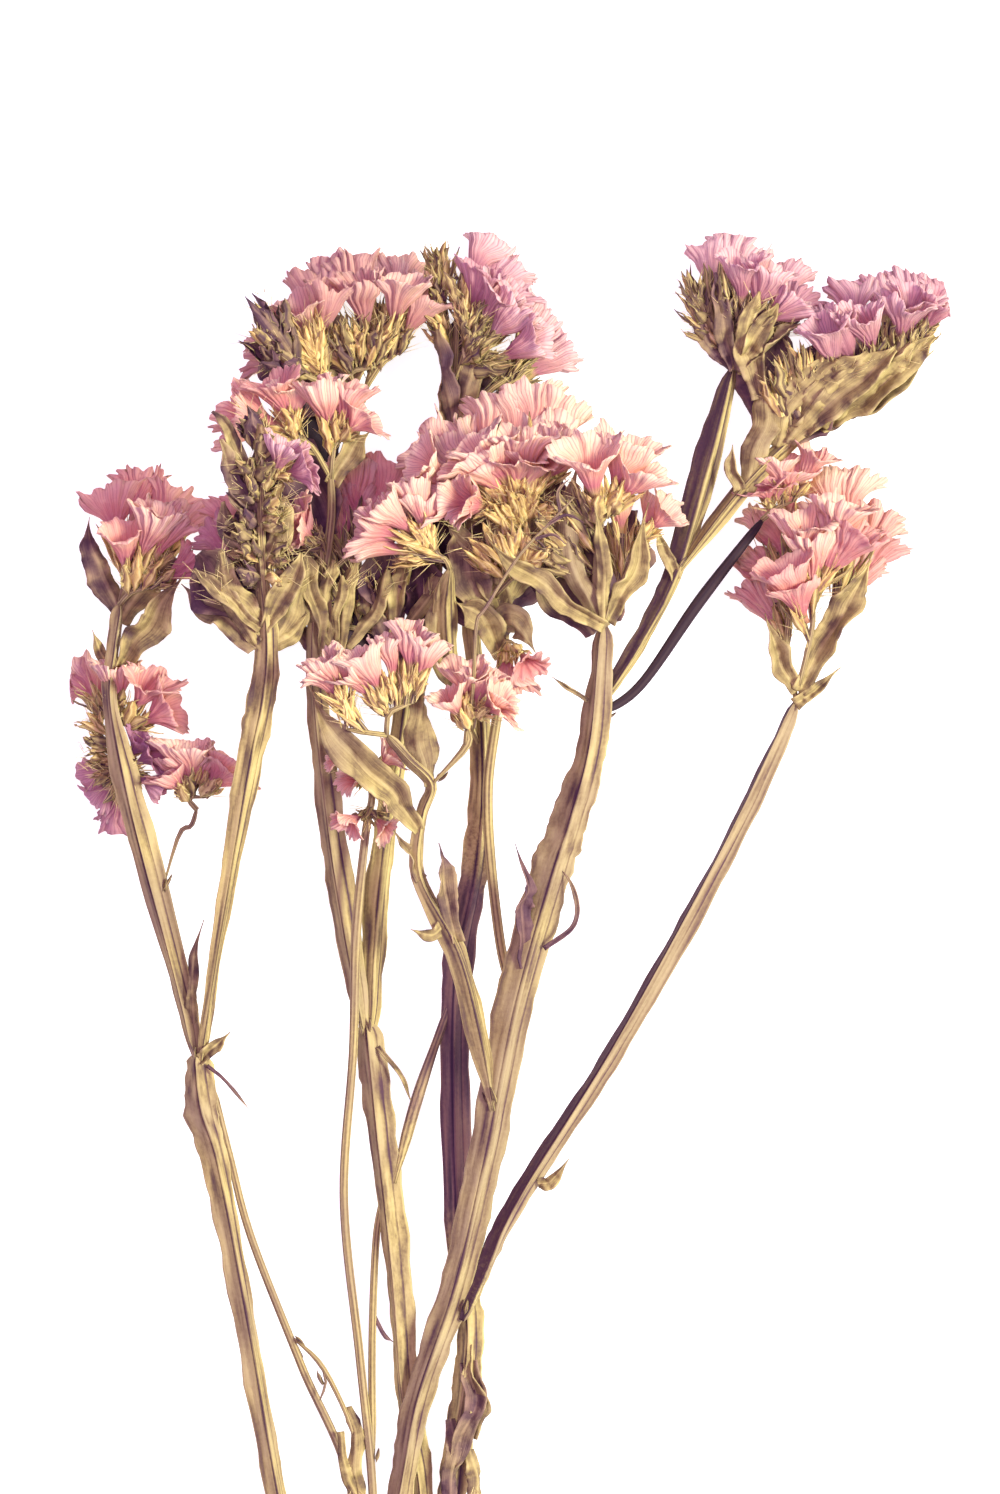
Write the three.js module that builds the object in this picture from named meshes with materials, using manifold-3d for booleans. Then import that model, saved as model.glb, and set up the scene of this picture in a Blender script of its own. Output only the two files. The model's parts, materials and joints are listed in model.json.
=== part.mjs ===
// A loose bunch of dried pink statice, lying on a surface. Millimetres, +Z up.
// The cut ends are at -Y and the heads at +Y. Six winged stems fork into branches. Each branch ends
// in heads, and each head is a few combs: a stalk with flowers along it, whose tips lie on a crest.
// Each flower has pointed straw bracts at its foot and a papery, pleated calyx above them. Along one
// comb the bracts are one ragged wedge, and the calyxes are one ruffle.
import * as THREE from "three";
import { mergeVertices } from "three/addons/utils/BufferGeometryUtils.js";
import Module from "manifold-3d";

const wasm = await Module();
wasm.setup();

// Where the middle of the bunch's box lies in the coordinates of the routes below.
const MIDDLE_X = 1.4;
const MIDDLE_Y = -37.3;
const FLOOR_SIZE = 1000;

const CLEARANCE = 0.3; // between solids that touch on the real bunch
const SLIVER = 0.02; // edges shorter than this are closed up after a cut
const STEM_THICKNESS = 2.4;
const LEAF_THICKNESS = 0.8;
const LEAF_UNEVEN = 0.5; // how much a leaf's edge comes and goes, as a share of its half width
const WING_EDGE = 0.62;
const MM_PER_STEP = 20; // along a stem

const STALK_WIDTH = 1.4;
const STALK_ROOT = 0.35; // the share of a stalk below its first flower
const SEAT_GAP = 0.5; // between bracts and the calyx above them
const BRACT_DEPTH = 2.3;
const BRACT_REACH = 0.12; // how far bracts go on past the crest's ends, as a share of it
const BRACT_VALLEY = 0.45; // of a bract's height
const BRACT_UNEVEN = 0.15; // how much shorter the shortest bract is
const BARE_UNEVEN = 0.45; // the same, on a comb that is bare

const CALYX_HEIGHT = 9;
const CALYX_SHARE = 0.66; // of a flower's length, at most
const CALYX_WALL = 0.95; // across the comb, and so 0.6 or more where the wall slants
const CALYX_JOIN = 0.5; // how high up neighbours grow together, as a share of the height
const CALYX_FOOT_SPREAD = 0.15; // half a calyx's foot, as a share of the step to the next one
const RIM_RAGGED = 1.1;

const STEM_COLOUR = 0xb5a06c;
const CALYX_COLOUR = 0xdf9290;

// Routes are points [x, y, z, width] along a stem's middle, from its foot up.
// Blades are the same, for leaves and for the wings that stand out from a stem.
// Combs are { stalk: points [x, y, z], crest: points [x, y, z], count, size }.
// A bare comb has bracts alone.
const STEMS = {
  stem_centre: {
    routes: [
      [[-30, -176, 1, 3], [-25.5, -150, 5, 3], [-20.5, -125, 6.6, 3.2], [-16, -101.5, 7.4, 3.5],
        [-13, -86.5, 9, 3.8], [-7, -69, 11.5, 4.4], [-2, -48, 14.5, 5], [2.5, -24, 17.5, 5.4],
        [8, -3, 20, 5.6], [11, 6.5, 21, 5], [14.5, 19, 22.5, 4.2], [16.5, 37, 24.5, 3.4]],
      [[-6, -74, 10.6, 2.2], [-2.5, -66, 10, 2.4], [3, -54.5, 9.5, 2.6], [19, -29.5, 9.5, 2.8],
        [37, 3, 9.5, 2.6], [47.5, 25.5, 9.5, 2]],
      [[15.5, 24, 22.4, 1.8], [22.5, 35, 17.5, 2.2], [28, 45.5, 14, 2.6], [33, 61, 12, 4],
        [37.5, 79, 10.5, 2.4]],
      [[28, 45.5, 14, 2.2], [38.5, 59, 12, 2.4], [46.5, 67, 10.5, 2.5], [51, 70.5, 10.5, 2.2]],
      [[15.5, 23, 22, 1.6], [22.5, 28, 17, 1.8], [32, 41.5, 12.5, 2.2], [42.5, 55, 9.5, 1.6]],
      [[3, -24, 16, 1.6], [0, -13, 13.5, 1.8], [-2, 9.5, 12.5, 1.9], [0, 27, 14, 1.8],
        [2, 54, 19, 1.6]],
      [[-1, -40, 16.5, 2.4], [-3.5, -27, 18.5, 3], [-7, -14.5, 20, 2.8], [-13, -2.5, 21, 2],
        [-12.5, 7, 22.5, 1.5], [-11, 12, 23.5, 1.6], [-14.5, 16, 27, 1.5], [-18, 20, 29, 1.4]],
      [[-11, 12, 23.5, 1.4], [-5.5, 18, 24.5, 1.5], [-5, 21, 25.5, 1.4]],
      [[16.5, 37, 24.5, 2.6], [16, 45, 25.5, 2], [16, 52, 26.5, 1.4]],
      [[-4.9, 20.3, 25.4, 1.2], [-1.5, 23.5, 31.5, 1.1], [-0.5, 34, 33, 1], [5, 49, 33.2, 1],
        [11, 57, 34, 0.9]],
    ],
    blades: [
      [[6, -52, 9.5, 1.2], [8, -51.6, 9.8, 1.6], [11, -48, 10, 0.7]],
      [[47.5, 25, 9.5, 1.4], [50.5, 27, 10.5, 1.3], [54.5, 31, 11, 0.6]],
      [[28, 45, 14, 1.2], [26.5, 49, 15.5, 1.4], [25.5, 54.5, 17, 0.6]],
      [[38.5, 59.5, 12.5, 1.6], [37.6, 63, 13.6, 1.6], [37.3, 66.5, 14, 0.6]],
      [[39.5, 59, 12, 2.4], [41.5, 66, 12.5, 5.2], [42.8, 72, 13, 6], [43.5, 77.5, 13, 3.6]],
      [[51, 69.5, 10, 2.4], [57, 72, 8.5, 3.6], [64, 76.5, 8, 3], [69.5, 82, 8.5, 0.8]],
      [[48, 27, 10, 2], [52.5, 35, 11, 3.6], [56.5, 42, 12, 4], [60, 49, 12, 1]],
      [[47.5, 27, 10, 1.6], [44.5, 33, 11, 2.6], [42.5, 39.5, 12, 0.8]],
      [[16.5, 37, 25, 2], [12, 46, 27, 3.4], [10.8, 56, 27.5, 3], [12.5, 64, 28, 0.9]],
      [[16.5, 38, 25.5, 1.5], [16, 47, 29, 2.6], [14.8, 57, 31, 0.8]],
      [[17, 38, 24, 2], [21, 46, 25, 3.4], [23.5, 57, 25.5, 0.8]],
      [[16.5, 37.5, 25, 2], [9.5, 41.5, 27, 2.8], [2.5, 46.5, 28, 2.4], [-2, 51, 28.5, 0.8]],
      [[-9, -10.5, 20.6, 1.8], [-11, -11.3, 21.5, 1.5], [-14, -10.3, 21.5, 0.6]],
      [[-12.5, -3, 21, 1.6], [-15, 1, 21.3, 1.3], [-16.8, 5, 22, 0.7]],
      [[-7, -13, 20, 1.6], [-9, -3, 21.5, 2.2], [-9.6, 2.8, 22, 0.6]],
      [[-11, 12, 23.5, 1.6], [-12.6, 18, 23.5, 3.6], [-12, 24, 24, 3], [-11, 31, 24, 0.9]],
      [[-13, 5, 22, 1.6], [-18, 11.5, 25.5, 3.4], [-26, 19, 28, 3.8], [-31, 29, 28, 0.9]],
      [[0, 33, 15, 1.5], [-3.5, 39.5, 20, 2.6], [-7, 41.5, 21, 0.8]],
      [[0, 35, 16, 1.6], [3, 37, 20, 3], [5.4, 33, 21, 1]],
      [[4, -17, 18, 1.6], [3.4, -8, 20, 2.2], [4, -4, 21, 1.8], [1.8, 2.5, 21.5, 0.6]],
      [[11, -9.5, 19.5, 1.3], [12.6, -5, 20, 1.2], [11.8, -1, 20.2, 1.2]],
      [[14, 25.5, 23, 1], [11, 27.6, 23, 1], [8.4, 29.4, 23, 0.7]],
    ],
    heads: {
      calyxes_broad_head: [
        { stalk: [[2, 53, 19], [0, 57, 20], [-1.5, 58.5, 20]],
          crest: [[-14.5, 66, 19], [-11, 69.5, 17], [-5.5, 70.5, 17], [-1, 73, 17]], count: 5 },
        { stalk: [[2, 53, 19], [5, 58.5, 19], [7.5, 59.5, 19]],
          crest: [[0, 73.5, 17], [5.5, 76, 17], [10.5, 74.5, 17], [13, 68, 19]], count: 5 },
        { stalk: [[2, 52, 20], [0, 55, 23], [-0.5, 56, 24]],
          crest: [[-14, 63.5, 24], [-11, 59.5, 26], [-7, 56, 27]], count: 3 },
        { stalk: [[2, 53, 20], [2.5, 56, 24], [4.5, 57, 24]],
          crest: [[-7, 66.5, 26], [-1.5, 67.5, 27], [4, 69, 27], [11, 67.5, 25]], count: 5 },
      ],
      calyxes_near_right_head: [
        { stalk: [[16, 48, 26.5], [16, 54, 27.5], [18, 55, 27.5]],
          crest: [[11.5, 66, 33], [16, 68, 31], [21.5, 66, 31], [24, 63, 32]], count: 4 },
        { stalk: [[17, 40, 24.5], [20, 46, 23], [22, 51, 22]],
          crest: [[20, 59, 21], [24.5, 59, 22], [27, 55.5, 22]], count: 3, size: 0.75 },
      ],
      calyxes_middle_head: [
        { stalk: [[-5.5, 18, 24.5], [-5, 22, 26], [-3.5, 23, 26]],
          crest: [[-9, 27, 29], [-6.5, 31, 28], [-3, 31, 29], [0, 29, 29], [1, 25, 28]],
          count: 5, size: 0.85 },
      ],
      calyxes_nodding: [
        { stalk: [[0.5, 33, 15], [1, 35, 18], [2.5, 34.5, 19]],
          crest: [[0.5, 26.5, 21], [5, 29, 22]], count: 2, size: 0.8 },
      ],
      calyxes_front_head: [
        { stalk: [[-18, 20, 29], [-17.5, 23.5, 31], [-14, 25, 31.5]],
          crest: [[-24, 32, 33], [-20.5, 35, 33], [-15, 37.5, 33], [-10, 36, 33]], count: 5 },
        { stalk: [[-18, 20, 29], [-22, 20.5, 30], [-24.5, 21, 30]],
          crest: [[-30, 30.5, 32], [-27.5, 33, 32], [-24.5, 33.5, 33]], count: 3 },
      ],
      calyxes_right_low_head: [
        { stalk: [[47.5, 26, 9.5], [46, 34, 9.5], [47, 44, 9.5]],
          crest: [[43, 44, 5], [42, 51, 3], [42.5, 57.5, 2], [45.5, 62.5, 2]], count: 5 },
        { stalk: [[48, 26, 10], [51.5, 34, 10], [54.5, 44, 10]],
          crest: [[62, 51, 4], [60.5, 57, 2], [56.5, 61, 2], [51.5, 62.5, 2]], count: 5 },
        { stalk: [[48, 28, 10.5], [50, 37, 12.5], [50, 42, 13]],
          crest: [[44.5, 45.5, 15], [46.5, 53, 15], [51, 58, 15], [56, 57.5, 15], [59, 52, 15]],
          count: 5 },
        { stalk: [[42, 54.5, 9.6], [44.5, 56.5, 9.6], [47, 57.5, 9.6]],
          crest: [[42, 61, 11], [45.5, 65, 11], [50.5, 66.5, 11]], count: 3, size: 0.85 },
      ],
      calyxes_right_high_head: [
        { stalk: [[37.5, 79, 10.5], [35.5, 83, 9.5], [34, 86, 9.5]],
          crest: [[30.5, 91, 4], [30.5, 95.5, 3], [33.5, 99.5, 2], [38.5, 100, 2]], count: 4 },
        { stalk: [[37.5, 79, 10.5], [41, 82.5, 10], [44, 83.5, 10]],
          crest: [[39, 99, 2], [44, 97, 2], [48.5, 92, 3]], count: 3 },
        { stalk: [[37.5, 79.5, 11], [38.5, 83.5, 12.5], [40.5, 84, 13]],
          crest: [[34, 95, 15], [38, 97.5, 15], [43, 96, 15], [47, 91, 14]], count: 4 },
      ],
      calyxes_far_right_head: [
        { stalk: [[51, 70.5, 10], [56, 74.5, 9.5], [62, 79, 9.5], [67.5, 83.5, 9.5]],
          crest: [[53, 89, 4], [57.5, 94, 2], [64.5, 95, 1.4], [69, 93.5, 1.4], [71.5, 92, 2]],
          count: 6 },
        { stalk: [[51, 70.5, 11], [56, 74.5, 12], [62, 78.5, 12], [66.5, 82.5, 12]],
          crest: [[50.5, 86, 15], [56, 87.5, 16], [62, 91, 16], [67, 91, 15], [71, 91, 14]],
          count: 6 },
      ],
    },
    bracts: [
      { stalk: [[44.5, 65, 11], [48, 68, 11], [51, 70.5, 11]],
        crest: [[43, 80, 13], [46, 84, 13], [51, 85, 14]], count: 4 },
      { stalk: [[16, 40, 25], [15, 45, 24], [16, 51, 25.5]],
        crest: [[4, 50, 26], [6, 57, 27.5], [11, 62, 29]], count: 4 },
      { stalk: [[2, 48, 18], [4, 53, 21], [5, 55, 22]],
        crest: [[-3, 57, 27], [1, 60, 28], [6, 60, 28], [10, 56, 27]], count: 4 },
      { stalk: [[37.5, 79, 10.5], [35, 83, 11.5], [34, 84, 12]],
        crest: [[30, 87, 12], [29.5, 92, 12], [31, 96, 12]], count: 3 },
    ],
  },
  stem_left: {
    routes: [
      [[-21.5, -174, 1, 2.8], [-25.5, -150, 1.9, 2.8], [-31, -125, 3.2, 2.9],
        [-36, -101.5, 4.5, 3], [-41, -73.5, 6.5, 3], [-45.5, -49.5, 8.5, 3.6],
        [-48, -40, 9.5, 4.6], [-48.5, -31, 10.5, 3.4]],
      [[-48.5, -33, 10.5, 2], [-51, -21, 10.5, 2.8], [-57, 1.5, 10.5, 3.8], [-60, 13, 10.5, 3.4],
        [-62.5, 25.5, 10.5, 1.9], [-62, 33.5, 10.5, 1.8], [-61, 41, 10.5, 1.9]],
      [[-48, -33, 10.7, 1.6], [-46.5, -22.5, 14, 1.6], [-43, -1.5, 19, 2.4], [-40, 16, 22, 3.8],
        [-38, 25.5, 23.5, 4], [-37, 35, 24.5, 3], [-38, 48, 26, 1.8], [-38.5, 66, 27.5, 1]],
      [[-54.5, -6, 10.5, 0.9], [-51.5, 4, 11, 0.9], [-49.5, 5.5, 11.5, 0.9],
        [-48.5, 8.5, 13, 0.9]],
    ],
    blades: [
      [[-38.5, 34, 24, 2.4], [-43.5, 38.5, 22, 3.6], [-47.5, 41.5, 20, 3], [-51, 44, 18, 0.8]],
      [[-37, 34, 24.5, 2], [-33.5, 36, 23, 2.8], [-30.5, 40, 22, 0.8]],
      [[-61, 40, 10, 2], [-63.8, 45, 11, 3.2], [-65.5, 50, 12, 2.4], [-65.5, 55, 13, 0.8]],
      [[-61, 31, 11, 1.6], [-57.5, 36, 13, 3.6], [-54.5, 40.5, 14, 3.4], [-51, 46.5, 15, 0.8]],
      [[-62.3, 31, 10.5, 1.2], [-63.8, 33.5, 11, 1.2], [-65.3, 37, 11.5, 0.6]],
      [[-48, -32, 11, 1.6], [-45.8, -30.4, 12, 1.6], [-43, -27.6, 13, 0.6]],
      [[-47, -33, 10.8, 0.8], [-43.5, -36, 11.8, 0.7], [-39.5, -41, 12.2, 0.6]],
      [[-49, -27, 10.5, 1.3], [-49.4, -19, 12.5, 1.2], [-48, -9.5, 13, 0.6]],
    ],
    heads: {
      calyxes_left_top_head: [
        { stalk: [[-61, 41, 10.5], [-59.5, 46, 9.5], [-54.5, 47, 9]],
          crest: [[-64, 60, 3], [-60.5, 63, 2], [-52, 61, 2], [-49, 57.5, 3]], count: 4 },
        { stalk: [[-61, 41, 11], [-59, 43, 13], [-56, 43.5, 14]],
          crest: [[-60.5, 54.5, 15], [-55, 56.5, 15], [-50.5, 54.5, 14], [-48, 49, 13]],
          count: 4 },
      ],
      calyxes_left_middle_head: [
        { stalk: [[-62.5, 25, 10.5], [-63.5, 23.5, 9.5], [-64, 22.5, 9]],
          crest: [[-68, 29, 3], [-65, 32, 3]], count: 2 },
        { stalk: [[-62.5, 24, 11], [-60.5, 22, 12], [-59.5, 21, 12.5]],
          crest: [[-61, 31.5, 15], [-56, 31, 15], [-52, 24, 15]], count: 3 },
      ],
      calyxes_left_low_head: [
        { stalk: [[-61, 17, 10], [-61.5, 14, 8.5], [-61, 12, 8]],
          crest: [[-66, 12, 1.6], [-66, 7.5, 1.4], [-62.5, 5, 1.6]], count: 3, size: 0.85 },
        { stalk: [[-61, 17, 11], [-60, 15, 12.5], [-59.5, 14, 12.5]],
          crest: [[-56.5, 20, 17], [-54.5, 14, 17], [-56, 8, 14]], count: 3, size: 0.8 },
      ],
      calyxes_left_side_shoot: [
        { stalk: [[-48.5, 8, 13], [-50, 10, 13], [-47, 10, 13.5]],
          crest: [[-54, 15, 13], [-51, 18.5, 13], [-45.5, 19, 14], [-42.5, 14.5, 14]],
          count: 4, size: 0.9 },
      ],
      calyxes_front_spike_pale: [
        { stalk: [[-38, 56, 26.6], [-36.5, 60, 28], [-35.5, 61, 28]],
          crest: [[-34, 67, 32], [-30, 62.5, 32]], count: 2, size: 0.8 },
      ],
      calyxes_front_spike_dark: [
        { stalk: [[-38, 43, 25.4], [-40, 44.5, 22], [-40.5, 47, 21]],
          crest: [[-48, 44, 18], [-48.5, 52, 17], [-43.5, 58, 17]], count: 3, size: 0.95 },
      ],
    },
    bracts: [
      { stalk: [[-37, 36, 24.5], [-38, 48, 26], [-38.5, 64, 27.5]],
        crest: [[-42.5, 45, 27], [-43.5, 55, 29], [-41.5, 71, 30]], count: 6 },
      { stalk: [[-36.7, 37, 24.8], [-37.6, 48.6, 26.4], [-38, 63, 27.8]],
        crest: [[-33.5, 43, 27.4], [-33, 53, 29.4], [-36.5, 67, 30.4]], count: 5 },
      { stalk: [[-62.3, 26, 10.5], [-63, 20, 10], [-61, 14, 10]],
        crest: [[-67, 28, 12], [-67.5, 20, 12], [-66, 14, 11]], count: 3 },
    ],
  },
  stem_middle: {
    routes: [
      [[-16, -172, 1, 2.6], [-15, -150, 2, 2.6], [-12.8, -120, 3, 2.8], [-12.6, -101.5, 4, 3],
        [-15, -86.5, 6, 3.4], [-16.5, -67, 8.2, 3.6], [-19.5, -41.5, 10.5, 4],
        [-21.5, -26, 11, 4]],
      [[-21.5, -29, 11, 2.6], [-25.5, -6.5, 12.5, 3.8], [-28, 13, 14.5, 3.4],
        [-29.5, 30.5, 17, 2.6], [-29, 44, 16, 2], [-26.5, 55, 9, 1.7], [-22, 74, 8.5, 1.5]],
      [[-21, -30, 10.7, 2.6], [-20, -13, 9.5, 3.6], [-18.5, 1.5, 9, 3.6], [-15, 27, 9.5, 2.6],
        [-16, 36, 10, 2]],
      [[-17, -52, 9.4, 2], [-13.5, -39, 9.5, 2.2], [-9.8, -28, 9, 1.4]],
      [[-28.8, 41, 16.6, 1.6], [-27, 54, 17.5, 1.6], [-27, 62, 19, 1.4]],
    ],
    blades: [
      [[-19.6, -30, 11.4, 1], [-16, -34.5, 12.4, 1], [-14, -39, 10, 1]],
      [[-29, 33, 17, 2], [-33, 39, 15, 3.4], [-34, 46, 14, 0.9]],
      [[-15, 28, 10, 2], [-11.2, 35, 11, 3.4], [-12, 43, 12, 0.9]],
      [[-15.5, 30, 10, 2], [-19, 37, 14, 3.8], [-23, 44, 15, 1]],
      [[-27, 60, 18, 1.6], [-24, 66, 18, 3], [-21, 69, 18, 1]],
    ],
    heads: {
      calyxes_arched_head: [
        { stalk: [[-22, 73.5, 8.5], [-26, 79, 9], [-31, 78.5, 9]],
          crest: [[-40, 83, 4], [-36.5, 90, 2], [-32, 94.5, 1.6], [-26, 96.5, 1.6]], count: 4 },
        { stalk: [[-22, 73.5, 8.5], [-20.5, 79, 9], [-17.5, 82.5, 9]],
          crest: [[-25, 96.5, 1.6], [-18.5, 98, 2], [-12, 94, 3]], count: 4 },
        { stalk: [[-23, 75, 9.5], [-27, 77, 11.5], [-29.5, 76.5, 12]],
          crest: [[-39, 84.5, 14], [-34.5, 90.5, 14], [-27, 92, 15]], count: 3 },
        { stalk: [[-22, 75, 9.5], [-19, 79.5, 11.5], [-16.5, 81, 12]],
          crest: [[-24, 93, 15], [-17, 95, 14], [-12, 91, 14]], count: 3 },
      ],
      calyxes_upper_left_head: [
        { stalk: [[-27, 61, 19], [-30, 66, 20.5], [-33, 67.5, 21]],
          crest: [[-44.5, 70, 20], [-41.5, 74, 21], [-37, 77.5, 22], [-32, 76.5, 22]],
          count: 4 },
        { stalk: [[-27, 61, 19], [-26.5, 66, 20.5], [-25.5, 67, 21]],
          crest: [[-28, 76.5, 23], [-24.5, 77.5, 22], [-20.5, 71.5, 22]], count: 3 },
      ],
      calyxes_shaded_head: [
        { stalk: [[-28.8, 43, 15.5], [-25, 48, 13], [-19.5, 49, 12]],
          crest: [[-32, 57, 11], [-27, 62, 11], [-18.5, 63.5, 10], [-14.5, 61, 10]],
          count: 5 },
        { stalk: [[-28.2, 46, 17], [-28.5, 49.5, 19], [-28, 51, 19]],
          crest: [[-33.5, 56.5, 20], [-33.5, 51, 20]], count: 2, size: 0.8 },
      ],
    },
    bracts: [
      { stalk: [[-15.5, 33, 10], [-20, 36.5, 11], [-26, 37.5, 12]],
        crest: [[-15, 48, 13], [-24, 47, 13], [-32, 44, 12]], count: 5, size: 1.4 },
      { stalk: [[-22, 74, 9], [-24, 78, 11], [-20, 79, 12]],
        crest: [[-29, 86, 14], [-23, 88, 15], [-16, 88, 14]], count: 4 },
    ],
  },
  stem_back: {
    routes: [
      [[-12.6, -170, 1, 2.6], [-11.9, -150, 2, 2.6], [-8.8, -125, 3, 2.8],
        [-8, -101.5, 4, 4], [-6, -86.5, 5.2, 4], [-5, -75, 5.8, 3.6], [-6.5, -59, 6.6, 4],
        [-7, -22.5, 8.5, 4], [-3.5, 0, 9, 3.8], [-3, 19, 9.5, 3], [-5.5, 48, 10, 2],
        [-7, 70.5, 10, 1.8], [-9.5, 92, 9.5, 1]],
      [[-3, 18, 9.6, 1.8], [-7.5, 30, 15, 2.6], [-8.6, 40, 21, 3.2], [-8, 46.5, 25, 1.6]],
    ],
    blades: [
      [[-5, -93, 4.6, 2], [-3.8, -86, 6, 2.6], [-4.6, -78, 6.6, 1]],
      [[-5, 24, 12, 1.4], [-10.5, 35, 18, 2.8], [-9.5, 45, 24, 1]],
      [[-6, 50, 10, 1.6], [-9.5, 58, 11, 3], [-11, 66, 11, 0.8]],
      [[-7, 68, 10, 1.6], [-10.3, 76, 10, 3], [-11, 84, 10.5, 0.8]],
    ],
    heads: {
      calyxes_tall_head: [
        { stalk: [[-6.8, 69, 10], [-2, 75, 9.5], [1.5, 77.5, 9.5]],
          crest: [[11.5, 81, 4], [9, 85.5, 3], [6, 90, 3]], count: 4 },
        { stalk: [[-7.4, 76, 10], [-7, 84, 9.5], [-7, 90, 9.5]],
          crest: [[5.5, 91.5, 3], [1.5, 97.5, 2], [-2.5, 101, 2]], count: 4 },
        { stalk: [[-7.2, 73, 10], [-5, 80, 12], [-5, 84, 12.5]],
          crest: [[8.5, 82, 15], [3, 90, 15], [-1.5, 96, 14]], count: 4 },
      ],
      calyxes_front_left_fan: [
        { stalk: [[-8, 46.5, 25], [-8.8, 48, 26], [-11, 48.5, 26]],
          crest: [[-23.5, 50, 26], [-22, 54.5, 26], [-18.5, 58.5, 26], [-14, 60.5, 26],
            [-10, 56, 27]], count: 6 },
      ],
    },
    bracts: [
      { stalk: [[-7.2, 74, 10], [-8.5, 84, 10], [-9.3, 91, 9.8]],
        crest: [[-10.5, 87, 13], [-12, 93, 13], [-9.5, 100, 12]], count: 4 },
      { stalk: [[-7.6, 76, 10.5], [-6, 80, 13], [-5, 84, 13]],
        crest: [[0, 82, 15], [-3, 89, 15], [-7, 95, 14]], count: 4 },
    ],
  },
  stem_slender: {
    routes: [
      [[-20, -166, 1.4, 1.6], [-20, -150, 1.8, 1.6], [-20.3, -125, 3.2, 1.6],
        [-20.5, -101.5, 6, 1.6], [-22.5, -80, 8.5, 1.6], [-25, -54.5, 11.5, 1.6],
        [-23.5, -30.5, 15, 1.6], [-23, -12, 16.8, 1.8], [-21.5, 4, 17.5, 1.5],
        [-20.5, 11, 17.5, 1.3], [-23, 16, 17.5, 1]],
      [[-20.4, -98, 6.2, 1.4], [-20.6, -80, 6.8, 1.4], [-20, -62, 6.6, 1.4],
        [-18.8, -54, 6.4, 1.2]],
    ],
    blades: [
      [[-20.4, -73, 6.7, 0.9], [-18.6, -76.3, 7.4, 1], [-17.2, -77.6, 7.4, 0.6]],
    ],
    heads: {
      calyxes_withered_head: [
        { stalk: [[-21.6, 2, 17.5], [-20.5, 11, 17.5], [-22, 15, 17.5]],
          crest: [[-25, 4, 20], [-24.5, 11, 20], [-27, 18, 19]], count: 3, size: 0.62 },
        { stalk: [[-21.6, 2, 17.5], [-20.5, 10, 17.5], [-20.5, 14, 17.5]],
          crest: [[-17.5, 5, 19], [-17.5, 11, 19], [-17, 17, 18]], count: 3, size: 0.62 },
      ],
    },
    bracts: [
    ],
  },
  stem_thin: {
    routes: [
      [[-22.5, -157, 1.4, 1.5], [-23, -130, 2.6, 1.5], [-24, -101.5, 4.5, 1.5],
        [-32, -81.5, 5, 1.5], [-40, -61, 5.6, 1.5], [-43.4, -48, 6.3, 1.4], [-46, -37, 7.3, 1.2]],
      [[-34, -76.5, 5, 1], [-29, -81, 6.6, 1], [-25.2, -88, 7, 0.9]],
      [[-29, -81, 6.6, 0.8], [-28, -84, 7, 0.8], [-29, -87, 7.2, 0.7]],
    ],
    blades: [],
    heads: {},
    bracts: [],
  },
};

// A number from 0 to 1 that is always the same for the same two seeds.
function draw(item, kind) {
  const wave = Math.sin(item * 12.9898 + kind * 78.233) * 43758.5453;
  return wave - Math.floor(wave);
}

function vector([x, y, z]) {
  return new THREE.Vector3(x, y, z);
}

// The point at share t of a chain of points, counted in points and not in length. Past either end
// it goes on straight.
function along(points, t) {
  const place = t * (points.length - 1);
  const index = THREE.MathUtils.clamp(Math.floor(place), 0, points.length - 2);
  return vector(points[index]).lerp(vector(points[index + 1]), place - index);
}

function solidOf(geometry) {
  const bare = geometry.clone();
  bare.deleteAttribute("normal");
  bare.deleteAttribute("uv");
  const merged = mergeVertices(bare, 1e-4);
  return new wasm.Manifold(
    new wasm.Mesh({
      numProp: 3,
      vertProperties: Float32Array.from(merged.attributes.position.array),
      triVerts: Uint32Array.from(merged.index.array),
    }),
  );
}

// A closed shape through rings of the same number of points, with flat ends. The first half of the
// sides is one face and the second half is the other, and both are split into triangles alike.
function loft(rings) {
  const sides = rings[0].length;
  const corners = rings.flat().flatMap((corner) => corner.toArray());
  const faces = [];
  for (let ring = 0; ring + 1 < rings.length; ring += 1) {
    for (let side = 0; side < sides; side += 1) {
      const a = ring * sides + side;
      const b = ring * sides + ((side + 1) % sides);
      if (side < sides / 2) faces.push(a, b + sides, b, a, a + sides, b + sides);
      else faces.push(a, a + sides, b, b, a + sides, b + sides);
    }
  }
  const last = (rings.length - 1) * sides;
  for (let side = 1; side + 1 < sides; side += 1) {
    faces.push(0, side, side + 1, last, last + side + 1, last + side);
  }
  const geometry = new THREE.BufferGeometry();
  geometry.setAttribute("position", new THREE.Float32BufferAttribute(corners, 3));
  geometry.setIndex(faces);
  return geometry;
}

// The solid through rings, whichever way round they run.
function closed(rings) {
  const solid = solidOf(loft(rings));
  return solid.volume() > 0 ? solid : solidOf(loft(rings.toReversed()));
}

function catmull(route) {
  return new THREE.CatmullRomCurve3(route.map(vector), false, "catmullrom", 0.5);
}

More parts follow.
